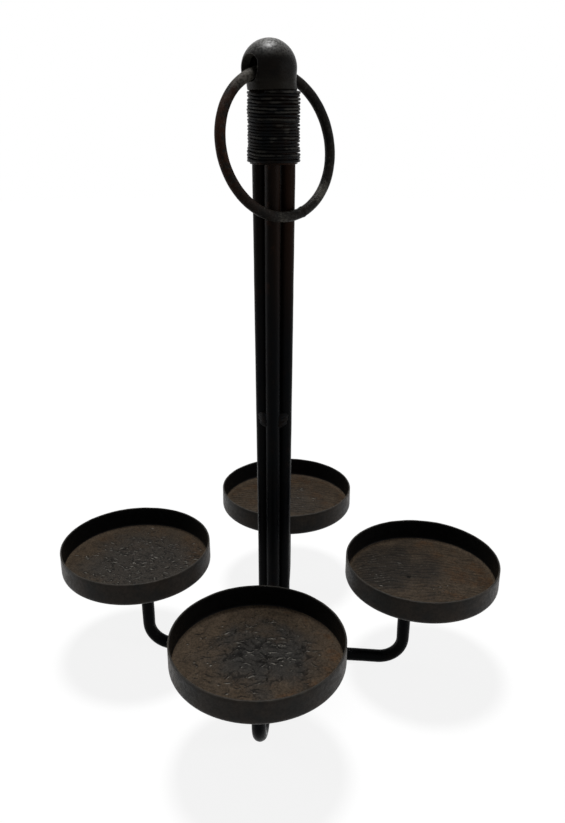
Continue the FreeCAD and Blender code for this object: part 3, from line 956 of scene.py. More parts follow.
# %% Floors
FLOORS = {
    # A relief's first number is the share of it that is left where there is no crust. Then come its
    # sizes in mm: how wide plates are, how far apart scrape lines, a pit's middle, radius and depth, or
    # how many flakes, their middle, spread, longest and height.
    "front": {
        "relief": [
            (plates, 0.3, 9.0),
            (flakes, 1.0, 85, (0, 2), (14, 14), 8.0, 0.5),
            (flakes, 1.0, 130, (-6, 6), (20, 18), 1.6, 0.45)],
        "crust_at": (2, 4), "crust_r": 25, "grey": 1.0,
        "dark": (0.0, 0.34), "rust_way": (1.0, -0.1), "rust": 1.0},
    "back": {
        "relief": [
            (scraped, 0.65, 3.2),
            (flakes, 1.0, 22, (8, 0), (20, 16), 6.0, 0.3),
            (flakes, 1.0, 14, (0, 2), (24, 16), 1.4, 0.5)],
        "crust_at": (4, 0), "crust_r": 20, "grey": 0.4,
        "dark": (0.22, 0.36), "rust_way": (0.0, 1.0), "rust": 0.8},
    "left": {
        "relief": [
            (flakes, 1.0, 210, (6, 3), (19, 17), 6.0, 0.55),
            (flakes, 1.0, 170, (2, 0), (22, 20), 1.6, 0.45),
            (flakes, 1.0, 70, (-14, -26), (9, 6), 1.4, 0.55),
            (flakes, 1.0, 7, (36, 7), (2, 2), 4.0, 0.6)],
        "crust_at": (5, -2), "crust_r": 37, "grey": 0.75,
        "dark": (0.18, 0.28), "rust_way": (0.5, 0.85), "rust": 0.5},
    "right": {
        "relief": [
            (scraped, 0.65, 2.9),
            (flakes, 1.0, 14, (-14, -2), (16, 14), 5.0, 0.3),
            (flakes, 1.0, 10, (10, -13), (3, 3), 1.4, 0.5),
            (flakes, 1.0, 8, (-26, 4), (4, 14), 1.4, 0.5),
            (pit, 1.0, (-7.2, -0.2), 1.9, 0.7)],
        "crust_at": (-15, 9), "crust_r": 27, "grey": 0.4,
        "dark": (0.12, 0.66), "rust_way": (1.0, 0.0), "rust": 0.9},
}
print("kinds on each floor:", {arm: len(look["relief"]) for arm, look in FLOORS.items()})

# %% [markdown]
# ### Where crust and rust lie
#
# Crust fills a round patch of a floor, and rust comes in from one side. Drawn plainly they would have
# the edges of a circle and of a ruler. Both edges are ragged on the real floors, so the distance that
# each one is cut off by has noise in it.

# %% Crust and rust
CRUST_RAGGED, CRUST_SIZE, CRUST_OCTAVES = 14, 14.0, 4   # mm, mm and a count
CRUST_INSIDE, CRUST_OUTSIDE = 17, 13   # mm on either side of its edge over which the crust thins out
RUST_RAGGED, RUST_SIZE = 0.5, 18.0     # a share of the floor's radius, and mm
RUST_RANGE = (-0.5, 0.6)               # shares of the floor's radius, towards the rusty side


def crust_on(look, points):
    """1 in the middle of the crust and 0 outside it."""
    x, y, _ = points.T
    away = np.hypot(x - look["crust_at"][0], y - look["crust_at"][1])
    away = away + CRUST_RAGGED * lumps(points, CRUST_SIZE, CRUST_OCTAVES)
    return 1 - soft_step(away, look["crust_r"] - CRUST_INSIDE, look["crust_r"] + CRUST_OUTSIDE)


def rust_on(look, points, floor_r):
    """How rusty a floor is, from nothing on one side to its most on the other."""
    x, y, _ = points.T
    toward_rust = (x * look["rust_way"][0] + y * look["rust_way"][1]) / floor_r
    toward_rust = toward_rust + RUST_RAGGED * lumps(points, RUST_SIZE)
    return look["rust"] * soft_step(toward_rust, *RUST_RANGE)


print(f"crust thins out over {CRUST_INSIDE + CRUST_OUTSIDE} mm at its edge")

# %% [markdown]
# ### Adding up a floor
#
# One function adds up the relief and the marks of any floor. Relief is added, while the painted shade
# of cracks and the painted glints of crests take the strongest mark, so that none gets darker or
# brighter where two of them meet. At the floor's own edge the relief fades out, so that the floor
# meets the wall in a clean circle.

# %% Relief of a floor
FLOOR_SEED = 12
FLOORS_APART = 40.0            # mm, so that each floor has noise of its own
CRUST_THICK = 0.2              # mm
GRIT_DEPTH = 0.12              # mm
GRIT_FINE, GRIT_COARSE, GRIT_OCTAVES = 1.5, 5.0, 3      # mm, mm and a count
LOWEST, HIGHEST = -0.65, 1.2   # mm, so that the sheet stays whole
EDGE_FADE = 2.0                # mm over which the relief dies away at the floor's edge


def floor_relief(arm, x, y, floor_r):
    """Relief in mm, and the marks for the finish, at points of a floor in mm from its centre."""
    look = FLOORS[arm]
    number = list(FLOORS).index(arm)
    rng = np.random.default_rng(FLOOR_SEED + number)
    points = np.stack([x, y, np.full_like(x, FLOORS_APART * number)], axis=-1)
    crust = crust_on(look, points)
    grit = lumps(points, GRIT_FINE, GRIT_OCTAVES) + lumps(points, GRIT_COARSE)
    relief = CRUST_THICK * crust + GRIT_DEPTH * grit
    crack, crest_glint = np.zeros((2, len(x)))
    for kind, bare, *sizes in look["relief"]:
        share = bare + (1 - bare) * crust
        shape, dark, top = (share * part for part in kind(points, rng, *sizes))
        relief = relief + shape
        # The painted shade of cracks and the painted glints of crests keep the strongest value.
        crack = np.maximum(crack, dark)
        crest_glint = np.maximum(crest_glint, top)
    fade = 1 - soft_step(np.hypot(x, y), floor_r - EDGE_FADE, floor_r)
    beside, under = look["dark"]
    marks = {
        "crust": look["grey"] * crust,
        "crack": crack * fade,
        "crest_glint": crest_glint * fade,
        "dark": beside + (under - beside) * crust,
        "rust": rust_on(look, points, floor_r),
    }
    return np.clip(relief, LOWEST, HIGHEST) * fade, marks


print(f"relief from {LOWEST} to {HIGHEST} mm")

# %% [markdown]
# ### The floor as a disc
#
# A pan is pressed from sheet: a flat floor, a rounded corner and an upright wall. The Screw modifier
# turns a section into a body of revolution, but its rings crowd together at the middle of the floor.
# The relief needs even faces there, so the floor is a square grid pressed into a disc, whose outer
# ring is evenly spaced.

# %% Disc
FLOOR_CELLS = 208          # faces across a floor


def disc_grid(cells):
    """Points of a square grid pressed into a unit disc, and the numbers of its rim's points in turn."""
    line = np.linspace(-1, 1, cells + 1)
    a, b = np.meshgrid(line, line, indexing="ij")
    wide = np.abs(a) >= np.abs(b)
    reach = np.where(wide, a, b)
    ratio = np.where(wide, b, a) / np.where(reach == 0, 1, reach)
    turn = np.where(wide, math.pi / 4 * ratio, math.pi / 2 - math.pi / 4 * ratio)
    number = np.arange((cells + 1) ** 2).reshape(cells + 1, cells + 1)
    sides = [number[-1, :-1], number[::-1, -1][:-1], number[0, ::-1][:-1], number[:-1, 0]]
    return (reach * np.cos(turn)).ravel(), (reach * np.sin(turn)).ravel(), np.concatenate(sides)


disc_x, disc_y, disc_edge = disc_grid(FLOOR_CELLS)
print("points of a floor:", len(disc_x), "and on its edge:", len(disc_edge))

# %% [markdown]
# ### The section of a pan
#
# Only the corner, the wall and the underside are turned, from a section that runs from beside the
# floor over the rim and down to the underside. It could be drawn as a curve, but straight lines and
# arcs say more plainly what a press makes: one sheet, one corner and a rim with its edges broken.

# %% Section
SHEET = 1.0 * MM
CORNER_R = 3.0 * MM
RIM_R = 0.4 * MM
INNER_POINTS, OUTER_POINTS, RIM_POINTS, WALL_POINTS = 7, 8, 4, 7   # along each stretch of the section
UNDERSIDE_RINGS = (0.6, 0.25)          # shares of the floor's radius


def arc(centre, radius, first, last, count):
    turn = np.radians(np.linspace(first, last, count))
    return [(centre[0] + radius * math.cos(t), centre[1] + radius * math.sin(t)) for t in turn]


def pan_section(outer, base, rim):
    """A pan's section as (out, up)."""
    corner = (outer - CORNER_R, base + CORNER_R)
    heights = np.linspace(corner[1], rim - RIM_R, WALL_POINTS)
    return np.array([
        *arc(corner, CORNER_R - SHEET, -90, 0, INNER_POINTS)[1:],
        *[(outer - SHEET, height) for height in heights[1:-1]],
        *arc((outer - SHEET + RIM_R, rim - RIM_R), RIM_R, 180, 90, RIM_POINTS),
        *arc((outer - RIM_R, rim - RIM_R), RIM_R, 90, 0, RIM_POINTS),
        *[(outer, height) for height in heights[-2:0:-1]],
        *arc(corner, CORNER_R, 0, -90, OUTER_POINTS),
        *[((outer - CORNER_R) * share, base) for share in UNDERSIDE_RINGS],
    ])


print(f"pans of {SHEET / MM:.0f} mm sheet with corners of {CORNER_R / MM:.0f} mm")

# %% [markdown]
# ### The wall
#
# A hand-made wall isn't true: the rim dips and the wall leans in by a fraction of a millimetre, never
# out, so the pan stays inside its CAD box. The section is turned ring by ring, and noise that is asked
# once for each direction moves all the rings together, the upper ones most.

# %% Wall
WALL_LEAN, LEAN_SIZE = 0.2 * MM, 34 * MM
RIM_DIP, DIP_SIZE = 0.25 * MM, 9 * MM
DIP_POWER = 4                          # keeps the dips near the rim


def ways_at(turn):
    """Unit steps outward in the floor's plane at some angles."""
    return np.stack([np.cos(turn), np.sin(turn), np.zeros_like(turn)], axis=-1)


def lathe(out, up, ways):
    """Rings of points about the upright axis, from how far out and up they lie."""
    return out[..., None] * ways + up[..., None] * UP


def wall_rings(section, ways, centre, base, rim):
    """Rings of points of a pan's wall, which leans in and dips at the rim here and there."""
    risen = soft_step(section[:, 1], base + CORNER_R, rim)[:, None]
    outer = section[:, 0].max()
    out = section[:, :1] - WALL_LEAN * risen * dips(ways * outer + centre, LEAN_SIZE)
    up = section[:, 1:] - RIM_DIP * risen ** DIP_POWER * dips(ways * outer - centre, DIP_SIZE)
    return lathe(out, up, ways)


print(f"walls lean in by up to {WALL_LEAN / MM:.2f} mm and rims dip by up to {RIM_DIP / MM:.2f} mm")

# %% [markdown]
# ### Joining floor and wall
#
# The disc's edge and the wall's rings have the same number of points, so one band of faces joins them,
# and a fan of triangles closes the underside. The finish changes a few rings up the corner, where the
# crust of a real pan ends. Each mark has to cover all the pan's points, so floor marks are nought on
# the wall, and the inner wall's painted shade and the rim's rub and painted highlight are nought on the
# floor.

# %% Faces and marks of a pan
FLOOR_RINGS = 3                        # rings of the corner that still have the floor's finish
RIM_RUB_AND_HIGHLIGHT = (1.2 * MM, 0.2 * MM)         # below the rim, where its rub and painted highlight begin and are full


def pan_faces(edge, first, rings):
    """Faces of a pan, floor first, and which finish each one has."""
    count = len(edge)
    floor_faces = quads(FLOOR_CELLS + 1, FLOOR_CELLS + 1, closed_columns=False)
    ring = first + np.arange(count)
    band = np.stack([edge, np.roll(edge, -1), np.roll(ring, -1), ring], axis=-1).tolist()
    wall_faces = (np.array(quads(rings, count)) + first).tolist()
    last = first + (rings - 1) * count
    fan = [(last + k, last + (k + 1) % count, first + rings * count) for k in range(count)]
    faces = floor_faces + band + wall_faces + fan
    of_floor = len(floor_faces) + (1 + FLOOR_RINGS) * count
    return faces, [0] * of_floor + [1] * (len(faces) - of_floor)


def pan_marks(floor_marks, section, rim, sides):
    """Marks of the floor and of the wall, each for all the points of a pan."""
    inside = np.arange(len(section)) < np.argmax(section[:, 1])
    rim_rub_and_highlight = soft_step(section[:, 1], *(rim - below for below in RIM_RUB_AND_HIGHLIGHT))
    on_floor = np.zeros(len(disc_x))
    on_wall = np.zeros(len(section) * sides + 1)
    marks = {title: np.concatenate([values, on_wall]) for title, values in floor_marks.items()}
    # The inside of the wall gets painted shade, and the rim its rub and painted highlight.
    for title, values in {"inner_wall_shade": inside, "rim": rim_rub_and_highlight}.items():
        marks[title] = np.concatenate([on_floor, np.repeat(values, sides), [0.0]])
    return marks


print("rings of the corner with the floor's finish:", FLOOR_RINGS)

# %% [markdown]
# ### The four pans
#
# All that is left is to read each pan's place and size from its CAD box and to put floor, wall and
# marks together.

# %% Pans
def centre_line(low, high):
    """The foot of the upright line through the middle of a box."""
    return np.array([(low.x + high.x) / 2, (low.y + high.y) / 2, 0])


def make_pan(arm):
    low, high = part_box(f"{arm}_pan")
    centre = centre_line(low, high)
    outer, base, rim = (high.x - low.x) / 2, low.z, high.z
    floor_r = outer - CORNER_R
    x, y = disc_x * floor_r, disc_y * floor_r
    relief, floor_marks = floor_relief(arm, x / MM, y / MM, floor_r / MM)
    disc = np.stack([x, y, base + SHEET + relief * MM], axis=-1)
    section = pan_section(outer, base, rim)
    ways = ways_at(np.arctan2(disc_y[disc_edge], disc_x[disc_edge]))
    rings = wall_rings(section, ways, centre, base, rim)
    points = np.concatenate([disc, rings.reshape(-1, 3), [[0, 0, base]]]) + centre
    faces, finish_of_face = pan_faces(disc_edge, len(disc), len(section))
    marks = pan_marks(floor_marks, section, rim, len(disc_edge))
    new_piece(f"{arm}_dish", f"{arm}_pan", points, faces, [floor_finish, wall_finish],
              marks=marks, finish_of_face=finish_of_face)


for arm in ARMS:
    make_pan(arm)

# %% [markdown]
# ### Weld skin
#
# The maker held the stand together with weld: a bead round each upright under its pan, four beads in
# the grooves half way up the stem, and one that closes the ring. Weld cools with a skin of its own, as
# black as the bars but duller, and without their drawn lines. It is a short finish of its own, because
# the bars' finish would need a mark that weld can't have.

# %% Weld skin
def weld_skin():
    material, tree, shader = iron_finish("weld_skin", mirror=0.024)
    patches = effect(tree, mottle, size_mm=3.0, seed=12.0)
    skin = effect(tree, pitted, size_mm=0.8, seed=14.0)
    feed(tree, shader["Base Color"], mix(tree, patches["Broad"], COLD_BLACK, WARM_BLACK))
    feed(tree, shader["Roughness"], share_of(tree, patches["Fine"], share=0.2, start=0.28))
    bumps(tree, shader, skin["Height"], depth_mm=0.05)
    return finished(material)


weld_finish = weld_skin()

# %% [markdown]
# ### Beads under the pans
#
# A bead is a row of frozen puddles, so its surface is lumpy with a ripple along it. Spheres would look
# like beads on a string. Instead each bead is a grid whose thickness swings with a sine for the ripple
# and with noise for the rest. Under a pan it is a hollow fillet that flares from the upright to the
# pan's underside, and its inner wall is sunk in the bar.

# %% Beads under the pans
SEAT_SIDES, SEAT_ROWS = 72, 14
SEAT_SUNK = 0.2 * MM
SEAT_THICK, SEAT_THINNEST = 0.86, 0.55    # shares of the CAD bead's size
SEAT_RIPPLES, SEAT_RIPPLE = 11, 0.07
SEAT_UNEVEN, SEAT_LUMP = 0.2, 3 * MM
SEAT_SWELL = 0.22                         # how far a hollow fillet swells out again


def make_seat_bead(arm):
    low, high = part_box(f"{arm}_pan_weld")
    centre = centre_line(low, high)
    reach, height = (high.x - low.x) / 2, high.z - low.z
    inner = reach - height - SEAT_SUNK
    turn = full_turn(SEAT_SIDES)
    ways = ways_at(turn)
    rise = np.linspace(0, 1, SEAT_ROWS)[:, None]
    ripple = SEAT_RIPPLE * np.sin(SEAT_RIPPLES * turn)
    thick = SEAT_THICK + ripple + SEAT_UNEVEN * lumps(ways * reach + centre, SEAT_LUMP)
    hollow = 1 - np.sqrt(np.maximum(0, 1 - rise ** 2))
    flare = np.clip(hollow + SEAT_SWELL * np.sin(math.pi * rise), 0, 1)
    fillet = inner + height * flare * np.clip(thick, SEAT_THINNEST, 1)
    out = np.concatenate([fillet, np.full((1, SEAT_SIDES), inner)])
    up = low.z + height * np.concatenate([rise, [[1.0]]])
    faces = quads(len(out), SEAT_SIDES, closed_rows=True)
    new_piece(f"{arm}_seat_bead", f"{arm}_pan_weld", lathe(out, up, ways) + centre, faces,
              [weld_finish])


for arm in ARMS:
    make_seat_bead(arm)

# %% [markdown]
# ### One bead in a groove
#
# Half way up, a short bead in each groove ties two neighbouring legs together. The beads slant towards
# the front and back legs, so in front they look like a V. A stretched sphere would end in points, while
# weld ends blunt. So rings of points are set along the bead, and their size falls off only near its
# ends.

# %% Groove bead
GROOVE_TURNS = (45, 135, 225, 315)        # degrees, the grooves between neighbouring legs
BEAD_ROWS, BEAD_SIDES = 30, 28
BEAD_DEEP, BEAD_WIDE = 3.0 * MM, 6.0 * MM   # half its size out of the groove, and across it
BEAD_SLANT = 0.3
BEAD_END, BEAD_BLUNT = 0.985, 4           # where a bead is cut flat, and how square its ends are
BEAD_THICK = 0.92
BEAD_RIPPLES, BEAD_RIPPLE = 4, 0.05
BEAD_UNEVEN, BEAD_LUMP = 0.08, 3 * MM
BEADS_APART = 12 * MM                     # gives each bead noise of its own


def groove_bead(number, reach, middle, half):
    """Points of one bead, out at a reach in its groove."""
    out = ways_at(math.radians(GROOVE_TURNS[number]))
    across = np.cross(UP, out)
    rise = np.linspace(-BEAD_END, BEAD_END, BEAD_ROWS)[:, None]
    turn = full_turn(BEAD_SIDES)[:, None]
    ring = np.cos(turn) * BEAD_DEEP * out + np.sin(turn) * BEAD_WIDE * across
    ripple = BEAD_THICK + BEAD_RIPPLE * np.cos(BEAD_RIPPLES * math.pi * rise)
    spots = ring + rise[..., None] * UP * half + BEADS_APART * number
    thick = np.sqrt(1 - rise ** BEAD_BLUNT) * ripple * (1 + BEAD_UNEVEN * lumps(spots, BEAD_LUMP))
    slant = BEAD_SLANT if number % 2 else -BEAD_SLANT
    line = out * (reach - BEAD_DEEP) + UP * middle + rise * half * (UP + across * slant)
    return (line[:, None] + ring * thick[..., None]).reshape(-1, 3)


print(f"beads {2 * BEAD_WIDE / MM:.0f} mm wide in {len(GROOVE_TURNS)} grooves")

# %% [markdown]
# ### All the groove beads
#
# The four beads are one CAD node, so they are one piece here too. Objects could be joined for that, but
# with points in lists it is enough to count each bead's faces on from the last one's. How far out and
# how high the beads lie is read from the CAD node.

# %% Groove beads
def from_stem(cad_node):
    """How far from the stem's centre line the corners of a CAD node lie."""
    corners = corners_of(cad_node)
    return np.hypot(corners[:, 0], corners[:, 1])


low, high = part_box("stem_tack_welds")
reach = from_stem("stem_tack_welds").max()
middle, half = (low.z + high.z) / 2, (high.z - low.z) / 2
beads = [groove_bead(number, reach, middle, half) for number in range(len(GROOVE_TURNS))]
bead_faces = []
for number, bead in enumerate(beads):
    first = number * len(bead)
    bead_faces += [[first + corner for corner in face] for face in capped(BEAD_ROWS, BEAD_SIDES)]
new_piece("groove_beads", "stem_tack_welds", np.concatenate(beads), bead_faces,
          [weld_finish])

# %% [markdown]
# ### The sleeve under the binding
#
# A short sleeve holds the legs' tops, and only its lower lip shows below the binding. It is turned
# from a section like the pans' walls, with a lip that was dressed round with a file. The pin inside it
# never shows, so its CAD node stays and only takes the bars' finish.

# %% Sleeve
SLEEVE_SIDES = 96
LIP_R, LIP_POINTS = 0.28 * MM, 4
LIP_HIGH = 1.6 * MM        # what shows of the sleeve below the binding


def make_sleeve():
    low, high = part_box("stem_ferrule")
    outer, inner = (high.x - low.x) / 2, from_stem("stem_ferrule").min()
    section = np.array([
        (inner, high.z),
        *arc((inner + LIP_R, low.z + LIP_R), LIP_R, 180, 270, LIP_POINTS),
        *arc((outer - LIP_R, low.z + LIP_R), LIP_R, 270, 360, LIP_POINTS),
        *[(outer, height) for height in (low.z + LIP_HIGH, (low.z + high.z) / 2, high.z)],
    ])
    turn = full_turn(SLEEVE_SIDES)
    points = lathe(section[:, :1], section[:, 1:], ways_at(turn))
    faces = quads(len(section), SLEEVE_SIDES, closed_rows=True)
    new_piece("sleeve", "stem_ferrule", points, faces, [bar_finish],
              marks={"straight": straightened(section[:, 1], outer, turn)})


make_sleeve()
pin_finishes = frame["nodes"]["finial_shank"].data.materials
pin_finishes.clear()
pin_finishes.append(bar_finish)

# %% [markdown]
# ### Annealed wire
#
# The binding is soft iron wire, black from the fire that softened it. Rust has caught in places, and
# turns that stand proud of their neighbours carry a faint painted glint, a paler colour on their outer
# side. The mesh marks how strong that painted glint is at each point, from how proud it stands, and the
# shared rub and glint group breaks that mark up.

# %% Annealed wire
def annealed_wire():
    material, tree, shader = iron_finish("annealed_wire", mirror=0.035)
    patches = effect(tree, mottle, size_mm=6.0, seed=21.0)
    bloom = effect(tree, rust_bloom, size_mm=5.0, seed=22.0, amount=0.4)["Mask"]
    skin = effect(tree, pitted, size_mm=0.6, seed=23.0)
    glint = effect(tree, rub_and_glint, size_mm=1.3, seed=24.0, edge=mark(tree, "proud"))["Mask"]
    colour = mix(tree, patches["Broad"], COLD_BLACK, WARM_BLACK)
    colour = mix(tree, share_of(tree, bloom, share=0.4), colour, RUST_BROWN)
    # Where the proud mark is strong the colour is painted paler: a painted glint.
    feed(tree, shader["Base Color"], mix(tree, share_of(tree, glint, share=0.3), colour, BARE_IRON))
    feed(tree, shader["Roughness"], share_of(tree, patches["Fine"], share=0.25, start=0.2))
    bumps(tree, shader, skin["Height"], depth_mm=0.08)
    return finished(material)


wire_finish = annealed_wire()

# %% [markdown]
# ### Turns of the wire
#
# The wire is wound round the sleeve in one length. A Screw modifier would give an even helix, and a
# stack of rings would have no beginning. Hands wind another way: each turn lies level most of the way
# round, and steps down to the next on the left. So the wire's level is a stair with soft steps, and it
# is counted in turns from the top.

# %% Turns of the wire
WIRE_TURNS = 22
TURN_STATIONS = 72
STEP_FROM, STEP_WIDE = 165.0, 90.0   # degrees: where a turn steps down, and over how wide a stretch

turns = np.linspace(0, WIRE_TURNS, WIRE_TURNS * TURN_STATIONS + 1)
level = np.floor(turns) + soft_step(turns % 1, 1 - STEP_WIDE / 360, 1)
level = np.minimum(level, WIRE_TURNS - 1)
outward = ways_at(turns * 2 * math.pi + math.radians(STEP_FROM + STEP_WIDE))
print(f"{WIRE_TURNS} turns with {len(turns)} stations")

# %% [markdown]
# ### The line of the wire
#
# No turn is quite like the next: it wanders up and down, stands out or sinks in against its neighbours,
# bulges over the tucked end near the bottom and leaves small gaps. So noise goes into the wire's height
# and reach, and a seeded random generator shifts whole turns. The free ends are bent in under the
# neighbouring turns.

# %% Line of the wire
WIRE_R = 0.7 * MM
SPOT_ROUND, SPOT_DOWN = 1.3, 1.7     # the noise's scale round the stem, and from turn to turn
WANDER, WANDER_SIZE = 0.3 * MM, 1.1  # up and down along a turn
UNEVEN = 0.22 * MM                   # how far a whole turn lies from its even place
PROUD_SCALE, PROUD_SHIFT, PROUD_SIZE = 1.5, 4.0, 0.9
PROUD_TURN = 0.6                     # how much whole turns differ
PROUD_OUT = 0.7 * WANDER             # how far a proud stretch stands out
BULGE, BULGE_TURNS = 0.35 * MM, 4
BULGE_RANGE = (-0.4, 0.2)            # turns, about the first one that bulges
TUCK_TURN, TUCK_IN = 0.12, 1.2 * WIRE_R
WIRE_SEED = 5


def wire_line():
    """Stations along the wire from the top down, and how proud each one is."""
    low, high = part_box("wire_binding")
    spot = outward * SPOT_ROUND + UP * turns[:, None] * SPOT_DOWN
    shifts = np.random.default_rng(WIRE_SEED).uniform(-1, 1, (2, WIRE_TURNS))
    lift, stand_out = (np.interp(level, np.arange(WIRE_TURNS), shift) for shift in shifts)
    pitch = (high.z - low.z - 2 * WIRE_R) / (WIRE_TURNS - 1)
    height = high.z - WIRE_R - pitch * level + WANDER * lumps(spot, WANDER_SIZE) + UNEVEN * lift
    height = np.clip(height, low.z + WIRE_R, high.z - WIRE_R)
    proud = lumps(spot * PROUD_SCALE + PROUD_SHIFT, PROUD_SIZE) + PROUD_TURN * stand_out
    bulge = BULGE * soft_step(turns, *(WIRE_TURNS - BULGE_TURNS + edge for edge in BULGE_RANGE))
    free = soft_step(turns, 0.0, TUCK_TURN) * soft_step(WIRE_TURNS - turns, 0.0, TUCK_TURN)
    reach = (high.x - low.x) / 2 - WIRE_R
    out = reach + bulge + PROUD_OUT * proud - TUCK_IN * (1 - free)
    return outward * out[:, None] + UP * height[:, None], proud


line, proud = wire_line()
print(f"{np.linalg.norm(np.diff(line, axis=0), axis=1).sum():.2f} m of wire")

# %% [markdown]
# ### The wire binding
#
# A round section is swept along the line with the bars' own helper. How much painted glint a point gets
# depends on how proud its turn stands there, and on whether it faces outward.

# %% Wire
WIRE_SIDES = 12
GLINT_START, GLINT_SHARE, GLINT_MOST = 0.45, 1.6, 1.1

wire_points = sweep(line, outward, np.full((len(line), WIRE_SIDES), WIRE_R))
facing_out = np.clip(np.cos(full_turn(WIRE_SIDES)), 0, 1)
# The painted glint of each point, from how proud it stands and whether it faces out.
glinting = np.clip(GLINT_START + GLINT_SHARE * proud[:, None], 0, GLINT_MOST) * facing_out
new_piece("wire_wrap", "wire_binding", wire_points, capped(len(line), WIRE_SIDES),
          [wire_finish], marks={"proud": glinting})

# %% [markdown]
# ### Worn ball
#
# The finial's crown is painted a paler grey, partly wear and partly a painted highlight of the light
# above, the lips of its cross hole are rubbed by the ring, and its neck is a paler brown. A lower
# roughness on the crown would give a hard small highlight. A coat is a second, softer mirror over the
# iron, and its weight follows the crown. Three marks on the mesh say where lips, crown and neck are.

# %% Worn ball
BALL_DARK = (0.0020, 0.0019, 0.0018, 1)
BALL_BROWN = (0.0062, 0.0045, 0.0034, 1)
NECK_BROWN = (0.0130, 0.0112, 0.0088, 1)
CROWN_WEAR_AND_HIGHLIGHT = (0.0400, 0.0385, 0.0340, 1)
COAT_DULL = 0.43


def worn_ball():
    material, tree, shader = iron_finish("worn_ball", mirror=0.03)
    feed(tree, shader["Coat Roughness"], COAT_DULL)
    patches = effect(tree, mottle, size_mm=8.0, seed=31.0)
    skin = effect(tree, pitted, size_mm=0.9, seed=33.0)
    lips = effect(tree, rub_and_glint, size_mm=1.8, seed=34.0, edge=mark(tree, "lip"))["Mask"]
    speckle = share_of(tree, patches["Fine"], share=0.7, start=0.3)
    crown = maths(tree, "MULTIPLY", mark(tree, "crown"), speckle)
    colour = mix(tree, patches["Broad"], BALL_DARK, BALL_BROWN)
    colour = mix(tree, mark(tree, "neck"), colour, NECK_BROWN)
    # The crown's paler grey is partly wear and partly a painted highlight.
    colour = mix(tree, crown, colour, CROWN_WEAR_AND_HIGHLIGHT)
    feed(tree, shader["Base Color"], mix(tree, share_of(tree, lips, share=0.6), colour, BARE_IRON))
    feed(tree, shader["Coat Weight"], share_of(tree, crown, share=0.85))
    feed(tree, shader["Roughness"], share_of(tree, patches["Fine"], share=0.1, start=0.25))
    bumps(tree, shader, skin["Height"], depth_mm=0.12)
    return finished(material)


ball_finish = worn_ball()

# %% [markdown]
# ### The ball before drilling
#
# The finial is a ball on a short neck, and it leans a little to the left on its neck. A UV sphere and
# a cylinder would have to be joined first, so one section is turned instead, with its points merged at
# the poles. The ball's centre is the hinge of the ring, since the hole runs through it, and the hole's
# way is the hinge's axis.

# %% Ball blank
BALL_SIDES, BALL_POINTS = 128, 48
NECK_R = 12.3 * MM
NECK_RIGHT = 1.5 * MM                # the neck's middle, to the right of the ball's
NECK_FOOT, NECK_EDGE = 0.97, 0.35 * MM   # its foot's radius as a share, and the height of its bevel
LEAN_RANGE = (-8 * MM, -2 * MM)      # heights from the ball's centre between which the lean sets in
MERGED = 0.001 * MM

joint = frame["joints"][0]
hinge = np.array(joint["pos_m"])
hole_way = np.abs(np.array(joint["axis"]))


def on_neck(height):
    """1 on the neck and 0 on the ball, at a height from the ball's centre."""
    return 1 - soft_step(height, *LEAN_RANGE)


def ball_blank():
    """The ball with its neck, and the ball's radius."""
    low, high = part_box("ball_finial")
    ball_r, foot = high.z - hinge[2], low.z - hinge[2]
    first = -math.degrees(math.acos(NECK_R / ball_r))
    section = np.array([
        (0.0, foot),
        (NECK_R * NECK_FOOT, foot),
        (NECK_R, foot + NECK_EDGE),
        *arc((0, 0), ball_r, first, 90, BALL_POINTS)[:-1],
        (0.0, ball_r),
    ])
    points = lathe(section[:, :1], section[:, 1:], ways_at(full_turn(BALL_SIDES))) + hinge
    points[..., 0] += NECK_RIGHT * on_neck(section[:, 1:])
    mesh = new_mesh("ball_blank", points, quads(len(section), BALL_SIDES), merged_within=MERGED)
    return bpy.data.objects.new("ball_blank", mesh), ball_r


blank, ball_r = ball_blank()
print(f"a ball {2 * ball_r / MM:.1f} mm across")

# %% [markdown]
# ### Drilling
#
# A boolean cuts the cross hole cleanly but leaves a knife edge and long thin faces. A voxel Remesh
# after it gives small even faces, and a few rounds of Smooth wear the lips down as years of a swinging
# ring have. Modifiers only show their result on an evaluated copy, so the points are read from there,
# and blank and drill are removed.

# %% Drilled ball
HOLE_R = 6.0 * MM
DRILL_SIDES, DRILL_LONG = 96, 4      # its length in radii of the ball
VOXEL = 0.3 * MM
WEAR, WEAR_ROUNDS = 0.5, 8


def drilled(blank):
    """Points, their normals and faces of the drilled ball."""
    bpy.ops.mesh.primitive_cylinder_add(
        vertices=DRILL_SIDES, radius=HOLE_R, depth=DRILL_LONG * ball_r, location=hinge)
    drill = bpy.context.object
    drill.rotation_euler = Vector(hole_way).to_track_quat("Z", "Y").to_euler()
    scene.collection.objects.link(blank)
    cut = blank.modifiers.new("drill", "BOOLEAN")
    cut.operation = "DIFFERENCE"
    cut.object = drill
    even = blank.modifiers.new("even", "REMESH")
    even.mode = "VOXEL"
    even.voxel_size = VOXEL
    wear = blank.modifiers.new("wear", "SMOOTH")
    wear.factor = WEAR
    wear.iterations = WEAR_ROUNDS
    graph = bpy.context.evaluated_depsgraph_get()
    mesh = bpy.data.meshes.new_from_object(blank.evaluated_get(graph))
    points = np.array([vertex.co for vertex in mesh.vertices])
    normals = np.array([vertex.normal for vertex in mesh.vertices])
    faces = [list(polygon.vertices) for polygon in mesh.polygons]
    bpy.data.objects.remove(blank)
    bpy.data.objects.remove(drill)
    return points, normals, faces


points, normals, faces = drilled(blank)
print("faces of the drilled ball:", len(faces))

# %% [markdown]
# ### Dents and marks on the ball
#
# Years of knocks have left shallow dents all over the ball and one small gouge beside the hole. They
# are pushed in along the points' normals, on the outside only, so that the hole keeps its size for the
# ring. The three marks are measured from the same points: how near the hole's lips they are, how near
# the crown, and whether they lie on the neck.

